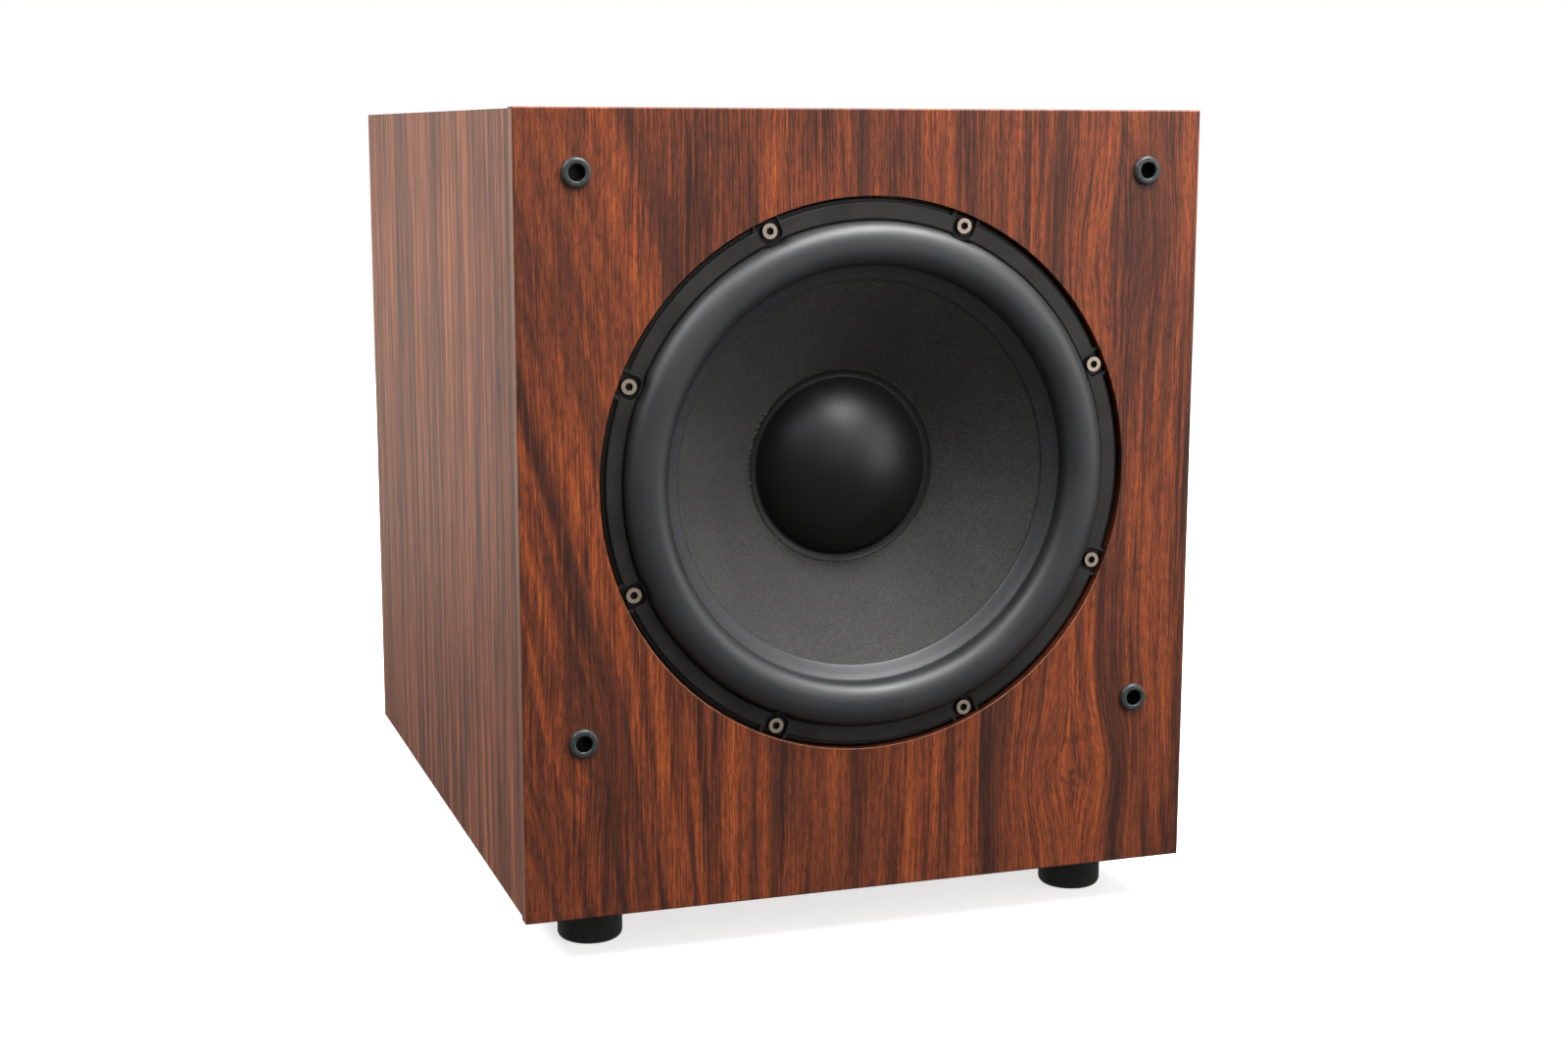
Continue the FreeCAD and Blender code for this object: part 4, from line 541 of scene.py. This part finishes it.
MATS = {
    "front_facing_board": wood_front(),
    "rosewood_vinyl": wood_side("rosewood_side", "z"),
    "rosewood_top": wood_side("rosewood_top", "x"),
    "raw_fibreboard": fibreboard(),
    "wadding": wadding(),
    "socket_rubber": socket_plastic(),
    "driver_screws": screw_metal(),
    "foot_plastic": speckled("foot_plastic", (20, 20, 18), (36, 36, 34), 0.42, scale=1400.0, bump=0.25),
    "zinc_steel": brushed("zinc_steel", (168, 158, 146), (226, 218, 206), 0.28, 1),
    "black_steel": speckled("black_steel", (22, 22, 22), (44, 44, 44), 0.38, 0.6),
    # the basket is near black, made darker still as painted shade inside the trim ring's notches
    "cast_aluminium": speckled("cast_aluminium", (9, 9, 9), (18, 18, 17), 0.48, scale=1800.0, bump=0.3),
    "foam_gasket": speckled("foam_gasket", (16, 16, 16), (38, 38, 38), 0.9, scale=2200.0, bump=0.6),
    "trim_rubber": speckled("trim_rubber", (30, 29, 27), (44, 42, 38), 0.44, scale=1300.0, bump=0.10, spec=0.45),
    "roll_rubber": roll_rubber(),
    "band_rubber": band_rubber(),
    "cone_fibre": cone_cloth(),
    "cap_plastic": cap_gloss(),
    "glue": glue_line(),
    "former_aluminium": turned_metal("former_aluminium", (170, 170, 172), (214, 214, 216), 0.3),
    "copper_wire": wound("copper_wire", (120, 54, 30), (206, 118, 74), (0.0, DZ), 1.0, 0.3, 9000.0),
    "spider_cloth": cloth("spider_cloth", (140, 96, 44), (206, 158, 88)),
    "yoke_steel": turned_metal("yoke_steel", (66, 66, 68), (112, 112, 114), 0.34),
    "ferrite": speckled("ferrite", (34, 34, 37), (60, 60, 63), 0.55, 0.2, 700.0, 0.4),
    "fibre_board": speckled("fibre_board", (96, 50, 26), (142, 80, 44), 0.7, scale=700.0),
    "tinned_brass": brushed("tinned_brass", (168, 162, 142), (214, 208, 190), 0.3, 1),
    "red_insulation": speckled("red_insulation", (140, 16, 12), (176, 26, 20), 0.4, scale=400.0, bump=0.05),
    "black_insulation": speckled("black_insulation", (18, 18, 18), (34, 34, 34), 0.4, scale=400.0, bump=0.05),
    "plate_paint": printed_plate(),
    "black_anodised": brushed("black_anodised", (30, 30, 32), (56, 56, 59), 0.38, 2, 0.5),
    "circuit_board": board_green(),
    "transformer_wrap": wound("transformer_wrap", (150, 116, 36), (216, 180, 84), (0.060, AZ - 0.086), 0.0, 0.35, 70.0, True),
    "can_sleeve": speckled("can_sleeve", (12, 14, 28), (26, 30, 52), 0.25, scale=300.0, bump=0.03, coat=0.4),
    "device_epoxy": speckled("device_epoxy", (20, 20, 20), (38, 38, 38), 0.5, scale=1600.0, bump=0.3),
    "control_plastic": speckled("control_plastic", (22, 22, 22), (38, 38, 38), 0.42, scale=1100.0),
    "knob_plastic": knob_plastic(),
    "switch_plastic": speckled("switch_plastic", (18, 18, 18), (32, 32, 32), 0.22, scale=500.0, bump=0.03, coat=0.3),
    "gold_plate": brushed("gold_plate", (176, 132, 52), (232, 190, 104), 0.22, 1),
    "cap_red": speckled("cap_red", (136, 10, 10), (176, 20, 18), 0.2, scale=300.0, bump=0.03, coat=0.5),
    "cap_black": speckled("cap_black", (16, 16, 16), (30, 30, 30), 0.2, scale=300.0, bump=0.03, coat=0.5),
    "led_lens": speckled("led_lens", (24, 96, 36), (52, 150, 66), 0.15, scale=300.0, bump=0.02, coat=0.6),
}

record = frame["record"]
slot_of = {s["node"]: s["material_slot"] for s in record["subparts"]}
for name, obj in NODES.items():
    key = slot_of[name]
    if name in ("front_facing_board", "driver_screws"):
        key = name
    elif name in ("top_panel", "bottom_panel"):
        key = "rosewood_top"
    elif name == "back_panel":
        key = "rosewood_back"
    obj.data.materials.clear()
    if key == "rosewood_back":
        if key not in MATS:
            M = Mat("rosewood_back", rough=0.42)
            x, y, z = M.sep(M.coord())
            tone, lines, pore, bands = grain(M, x, z, True)
            col = M.ramp(tone, [(0.34, lin((66, 40, 36))), (0.52, lin((120, 70, 52))), (0.72, lin((168, 100, 66)))])
            MATS[key] = M.done(col, None, M.bump(lines, 0.12, 0.0002))
    obj.data.materials.append(MATS[key])


# ------------------------------------------------------------------ turned pieces
def lathe(name, profile, seg, mats, mat_of=None, closed=True):
    """Turn a profile of (radius, depth) in millimetres about the driver's axis.
    profile is a function of the angle. Every profile has the same point count."""
    rows = []
    verts = []
    for k in range(seg):
        a = 2.0 * math.pi * k / seg
        pts = profile(a)
        rows.append(range(len(verts), len(verts) + len(pts)))
        for r, yp in pts:
            verts.append((r * 0.001 * math.cos(a), FY + yp * 0.001, DZ + r * 0.001 * math.sin(a)))
    n = len(rows[0])
    faces = []
    idx = []
    for k in range(seg):
        r0, r1 = rows[k], rows[(k + 1) % seg]
        for j in range(n if closed else n - 1):
            j2 = (j + 1) % n
            faces.append((r0[j], r0[j2], r1[j2], r1[j]))
            idx.append(mat_of(j) if mat_of else 0)
    me = bpy.data.meshes.new(name)
    me.from_pydata(verts, [], faces)
    for m in mats:
        me.materials.append(m)
    me.polygons.foreach_set("material_index", idx)
    me.polygons.foreach_set("use_smooth", [True] * len(faces))
    bm = bmesh.new()
    bm.from_mesh(me)
    bmesh.ops.remove_doubles(bm, verts=bm.verts, dist=1e-6)
    bmesh.ops.recalc_face_normals(bm, faces=bm.faces)
    bm.to_mesh(me)
    bm.free()
    me.update()
    obj = bpy.data.objects.new(name, me)
    bpy.context.scene.collection.objects.link(obj)
    return obj


def arc(cr, cy, r, a0, a1, n):
    out = []
    for k in range(n + 1):
        a = math.radians(a0 + (a1 - a0) * k / n)
        out.append((cr + r * math.cos(a), cy + r * math.sin(a)))
    return out


def cone_front(r):
    return 9.0 + 0.69 * (111.7 - r)


def sharp(obj, angle=35.0):
    """Keep corners crisp where faces meet at more than the angle."""
    me = obj.data
    bm = bmesh.new()
    bm.from_mesh(me)
    lim = math.radians(angle)
    for e in bm.edges:
        if len(e.link_faces) == 2 and e.calc_face_angle(0.0) > lim:
            e.smooth = False
    bm.to_mesh(me)
    bm.free()


def foot_radius(a):
    """Outer foot of the roll: it draws in where the trim ring's lobes reach over it."""
    d = (a - PHASE) % (math.pi / 4.0)
    if d > math.pi / 8.0:
        d -= math.pi / 4.0
    s = abs(d) * 142.0
    t = max(0.0, 1.0 - (s / 7.2) ** 2)
    return 142.0 - 1.25 * math.sqrt(t)


def full(c):
    """A roll a little fuller in the shoulder than an ellipse."""
    return math.copysign(abs(c) ** 0.82, c)


def roll_profile(a):
    dent = 142.0 - foot_radius(a)
    ro = 142.0
    ri = 117.2
    rc = (ro + ri) / 2.0
    rr = (ro - ri) / 2.0
    cy = -8.5 + 12.4
    fo = ro - dent
    pts = [(143.2, 4.25), (fo + 0.3, 4.2), (fo, cy)]
    # outer face over the crest: an ellipse; only its outermost foot gives way
    for k in range(1, 40):
        t = math.pi * k / 40.0
        f = 1.0 if t < 0.16 else max(0.0, math.cos(min(1.0, (t - 0.16) / 0.62) * math.pi / 2.0)) ** 2
        pts.append((rc + rr * full(math.cos(t)) - dent * f, cy - 12.4 * full(math.sin(t))))
    pts += [(ri, cy), (ri - 0.25, cone_front(ri) - 1.25), (ri - 0.9, cone_front(ri) - 0.75)]
    for k in range(1, 6):
        r = ri - 0.9 - (ri - 0.9 - 109.3) * k / 5.0
        pts.append((r, cone_front(r) - 1.0))
    pts += [(108.9, cone_front(108.9) - 0.75), (108.7, cone_front(108.7) - 0.02), (ri + 1.2, cone_front(ri + 1.2) - 0.02),
            (ri + 1.2, cy)]
    for k in range(1, 20):
        t = math.pi * (1.0 - k / 20.0)
        f = 1.0 if t < 0.16 else max(0.0, math.cos(min(1.0, (t - 0.16) / 0.62) * math.pi / 2.0)) ** 2
        pts.append((rc + (rr - 1.2) * full(math.cos(t)) - dent * f, cy - 11.2 * full(math.sin(t))))
    pts += [(fo - 1.2, cy), (fo - 1.2, 5.35), (143.2, 5.35)]
    return pts


NB = len(roll_profile(0.0))
surround = lathe("surround_roll", roll_profile, 288, [MATS["roll_rubber"], MATS["band_rubber"]],
                 lambda j: 1 if 43 <= j <= 51 else 0)
sharp(surround, 50.0)
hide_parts("surround")
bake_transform(surround, "cabinet", "moving_assembly", Vector((0.1425, FY + 0.004, DZ)), Vector((0.117, FY + 0.004, DZ)))
att = surround.data.attributes["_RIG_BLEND"]
w = []
for v in surround.data.vertices:
    r = math.hypot(v.co.x, v.co.z - DZ) * 1000.0
    t = min(1.0, max(0.0, (140.2 - r) / (140.2 - 118.4)))
    w.append(t)
att.data.foreach_set("value", w)


def cone_profile(a):
    pts = [(116.4 - 78.4 * k / 24.0, cone_front(116.4 - 78.4 * k / 24.0)) for k in range(25)]
    pts += [(38.0, 66.0), (39.2, 66.0), (39.2, cone_front(39.2) + 1.3)]
    pts += [(39.2 + 77.2 * k / 12.0, cone_front(39.2 + 77.2 * k / 12.0) + 1.3) for k in range(1, 13)]
    return pts


cone = lathe("cone_shell", cone_profile, 256, [MATS["cone_fibre"]])
sharp(cone)
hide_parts("cone")
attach(cone, "moving_assembly")


def cap_profile(a):
    s, cy = 63.487, 85.387
    e = math.degrees(math.asin(51.6 / s))
    pts = []
    for k in range(33):
        t = math.radians(e * k / 32.0)
        pts.append((s * math.sin(t), cy - s * math.cos(t)))
    pts += [(52.2, 48.72), (54.9, cone_front(54.9) - 0.85), (55.7, cone_front(55.7) - 0.70), (55.9, cone_front(55.9) - 0.05),
            (51.9, cone_front(51.9) - 0.05)]
    si = s - 1.2
    e2 = math.degrees(math.asin(51.2 / si))
    for k in range(16, -1, -1):
        t = math.radians(e2 * k / 16.0)
        pts.append((si * math.sin(t), cy - si * math.cos(t)))
    return pts


cap = lathe("dust_cap_dome", cap_profile, 192, [MATS["cap_plastic"]], closed=False)
sharp(cap, 60.0)
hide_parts("dust_cap")
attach(cap, "moving_assembly")


def bead(name, radius, depth, size, lump, seed, mat, seg=420):
    """A thin uneven bead of glue round the driver's axis."""
    g = random.Random(seed)
    raw = [g.random() for _ in range(seg)]
    sm = [sum(raw[(k + j) % seg] for j in range(-2, 3)) / 5.0 for k in range(seg)]

    def prof(a):
        k = int(round(a / (2.0 * math.pi) * seg)) % seg
        s = size * (1.0 + lump * (sm[k] - 0.5) * 2.0 + (lump * 0.9 if raw[k] > 0.965 else 0.0))
        return arc(radius + 0.2 * (sm[k] - 0.5), depth, s, 0.0, 315.0, 7)

    return lathe(name, prof, seg, [mat])


glue = bead("dust_cap_glue", 56.0, cone_front(56.0) - 0.05, 0.42, 0.8, 3, MATS["glue"])
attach(glue, "moving_assembly")
seam = bead("cone_edge_glue", 108.7, cone_front(108.7) - 0.06, 0.20, 0.0, 5, MATS["band_rubber"])
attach(seam, "moving_assembly")


def spider_profile(a):
    front = [(38.0, 71.4), (39.0, 71.4), (39.0, 74.1), (40.5, 74.5)]
    for k in range(1, 81):
        r = 40.5 + 39.0 * k / 80.0
        fade = min(1.0, k / 6.0, (80 - k) / 6.0)
        front.append((r, 74.6 + 1.9 * fade * math.sin(2.0 * math.pi * (r - 40.5) / 7.8)))
    front += [(80.6, 75.15), (86.0, 75.15)]
    back = [(r, y + (0.8 if r > 39.1 else 0.0)) for r, y in reversed(front[3:])]
    return front + back + [(39.0, 75.4), (39.0, 77.2), (38.0, 77.2)]


spider = lathe("spider_cloth_disc", spider_profile, 160, [MATS["spider_cloth"]])
sharp(spider, 60.0)
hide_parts("spider")
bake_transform(spider, "cabinet", "moving_assembly", Vector((0.082, FY + 0.075, DZ)), Vector((0.040, FY + 0.075, DZ)))
att = spider.data.attributes["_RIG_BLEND"]
w = []
for v in spider.data.vertices:
    r = math.hypot(v.co.x, v.co.z - DZ) * 1000.0
    w.append(min(1.0, max(0.0, (80.0 - r) / (80.0 - 40.0))))
att.data.foreach_set("value", w)

# ------------------------------------------------------------------ wadding mats
def mat_piece(name, lo3, hi3, thin, seed):
    """A fluffy mat: a closed slab with rounded edges and an uneven skin."""
    g = random.Random(seed)
    bm = bmesh.new()
    bmesh.ops.create_cube(bm, size=1.0)
    bmesh.ops.subdivide_edges(bm, edges=bm.edges[:], cuts=18, use_grid_fill=True)
    ph = [g.uniform(0.0, 6.28) for _ in range(12)]
    d = [hi3[i] - lo3[i] for i in range(3)]
    for v in bm.verts:
        p = [v.co[i] + 0.5 for i in range(3)]
        others = [i for i in range(3) if i != thin]
        e = min(min(p[i], 1.0 - p[i]) * d[i] for i in others)
        pull = 1.0 - max(0.0, 1.0 - e / 0.012) ** 2 * 0.6
        u, w2 = p[others[0]], p[others[1]]
        wave = (math.sin(9.0 * u + ph[0]) * math.sin(7.0 * w2 + ph[1])
                + 0.6 * math.sin(21.0 * u + ph[2]) * math.sin(17.0 * w2 + ph[3])
                + 0.4 * math.sin(43.0 * u + ph[4]) * math.sin(37.0 * w2 + ph[5]))
        off = (p[thin] - 0.5) * pull * (0.93 + 0.035 * wave)
        q = list(p)
        q[thin] = 0.5 + off
        for i in others:
            edge = min(p[i], 1.0 - p[i]) * d[i]
            k = max(0.0, 1.0 - edge / 0.012)
            ss = abs(p[thin] - 0.5) * 2.0
            q[i] = p[i] + (0.5 - p[i]) * 0.02 * k * ss
        v.co = Vector([lo3[i] + q[i] * d[i] for i in range(3)])
    me = bpy.data.meshes.new(name)
    bm.to_mesh(me)
    bm.free()
    me.materials.append(MATS["wadding"])
    me.polygons.foreach_set("use_smooth", [True] * len(me.polygons))
    obj = bpy.data.objects.new(name, me)
    bpy.context.scene.collection.objects.link(obj)
    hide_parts("damping_wadding")
    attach(obj, "cabinet")
    return obj


Y0, Y1 = FY + 0.262, FY + 0.450
mat_piece("wadding_left", (-0.1812, Y0, BZ + 0.060), (-0.1612, Y1, BZ + 0.380), 0, 1)
mat_piece("wadding_right", (0.1612, Y0, BZ + 0.060), (0.1812, Y1, BZ + 0.380), 0, 2)
mat_piece("wadding_bottom", (-0.145, Y0, BZ + 0.0188), (0.145, Y1, BZ + 0.0388), 2, 3)

# ------------------------------------------------------------------ floor, light, camera
def floor_piece():
    """A pale floor. It catches shadows, but throws no light back on the piece."""
    me = bpy.data.meshes.new("studio_floor")
    h = -0.0002
    me.from_pydata([(-4.0, -3.0, h), (4.0, -3.0, h), (4.0, 3.0, h), (-4.0, 3.0, h)], [], [(0, 1, 2, 3)])
    M = Mat("studio_paper", rough=0.9, spec=0.1)
    c = M.coord()
    x, y, z = M.sep(c)
    n = M.noise(c, 3.0, 2.0)
    far = M.span(M.op("SQRT", M.add(M.mul(x, x), M.mul(y, y))), 0.45, 1.1, 0.72, 1.1)
    M.b.inputs["Emission Color"].default_value = (1.0, 1.0, 1.0, 1.0)
    M.t.links.new(far, M.b.inputs["Emission Strength"])
    me.materials.append(M.done(M.ramp(n, [(0.3, (0.86, 0.86, 0.86, 1.0)), (0.7, (0.89, 0.89, 0.89, 1.0))])))
    obj = bpy.data.objects.new("studio_floor", me)
    bpy.context.scene.collection.objects.link(obj)
    obj.visible_diffuse = False
    obj.visible_glossy = False
    return obj


floor_piece()

scene = bpy.context.scene
world = bpy.data.worlds.new("studio") if scene.world is None else scene.world
scene.world = world
world.use_nodes = True
wt = world.node_tree
bg = next(n for n in wt.nodes if n.type == "BACKGROUND")
bg.inputs[0].default_value = (1.0, 1.0, 1.0, 1.0)
# a white room behind, but little light from it
lp = wt.nodes.new("ShaderNodeLightPath")
mr = wt.nodes.new("ShaderNodeMapRange")
wt.links.new(lp.outputs["Is Camera Ray"], mr.inputs[0])
mr.inputs[3].default_value = 0.19
mr.inputs[4].default_value = 1.02
wt.links.new(mr.outputs[0], bg.inputs[1])


def softbox(name, loc, target, w, h, power, color=(1.0, 1.0, 1.0)):
    ld = bpy.data.lights.new(name, "AREA")
    ld.shape = "RECTANGLE"
    ld.size = w
    ld.size_y = h
    ld.energy = power
    ld.color = color
    o = bpy.data.objects.new(name, ld)
    scene.collection.objects.link(o)
    d = Vector(target) - Vector(loc)
    o.matrix_world = Matrix.Translation(loc) @ d.to_track_quat("-Z", "Y").to_matrix().to_4x4()
    return o


softbox("key_top", (0.52, -0.72, 1.80), (0.0, -0.25, 0.27), 1.6, 1.0, 66.0)
softbox("front_right", (1.6, -1.55, 0.75), (0.0, -0.25, 0.27), 1.2, 1.4, 15.0)
softbox("fill_left", (-1.30, 0.10, 1.75), (-0.2, 0.0, 0.38), 1.0, 1.0, 46.0)
softbox("fill_front", (0.25, -2.6, 1.10), (0.0, -0.2, 0.25), 1.6, 0.8, 4.0)
softbox("fill_back", (0.7, 2.3, 1.3), (0.0, 0.25, 0.22), 1.6, 1.2, 34.0)
# a pale wall high on the left that only shows as sheen
wall = softbox("sheen_top_left", (-1.25, -0.95, 1.70), (0.0, -0.25, 0.27), 1.0, 1.0, 16.0, (0.90, 0.95, 1.0))
wall.visible_diffuse = False
# a pale wall far behind on the left: the side takes a haze from it at a grazing angle
haze = softbox("sheen_back_left", (-1.7, 2.7, 0.50), (-0.2, 0.1, 0.25), 2.4, 2.0, 13.0, (1.0, 0.95, 0.84))
haze.visible_diffuse = False
haze.visible_camera = False

cam_data = bpy.data.cameras.new("view")
cam_data.sensor_fit = "HORIZONTAL"
cam_data.sensor_width = 36.0
cam_data.lens = 52.597
cam = bpy.data.objects.new("view", cam_data)
scene.collection.objects.link(cam)
yaw, pitch, roll = math.radians(18.865), math.radians(-9.665), math.radians(0.098)
fwd = Vector((math.sin(yaw) * math.cos(pitch), math.cos(yaw) * math.cos(pitch), math.sin(pitch)))
right = Vector((math.cos(yaw), -math.sin(yaw), 0.0))
up = right.cross(fwd)
r2 = right * math.cos(roll) + up * math.sin(roll)
u2 = up * math.cos(roll) - right * math.sin(roll)
rot = Matrix((r2, u2, -fwd)).transposed().to_4x4()
cam.matrix_world = Matrix.Translation(Vector((-0.4548, -1.1814 + FY, 0.4271 + BZ))) @ rot
scene.camera = cam
scene.view_settings.view_transform = "Standard"
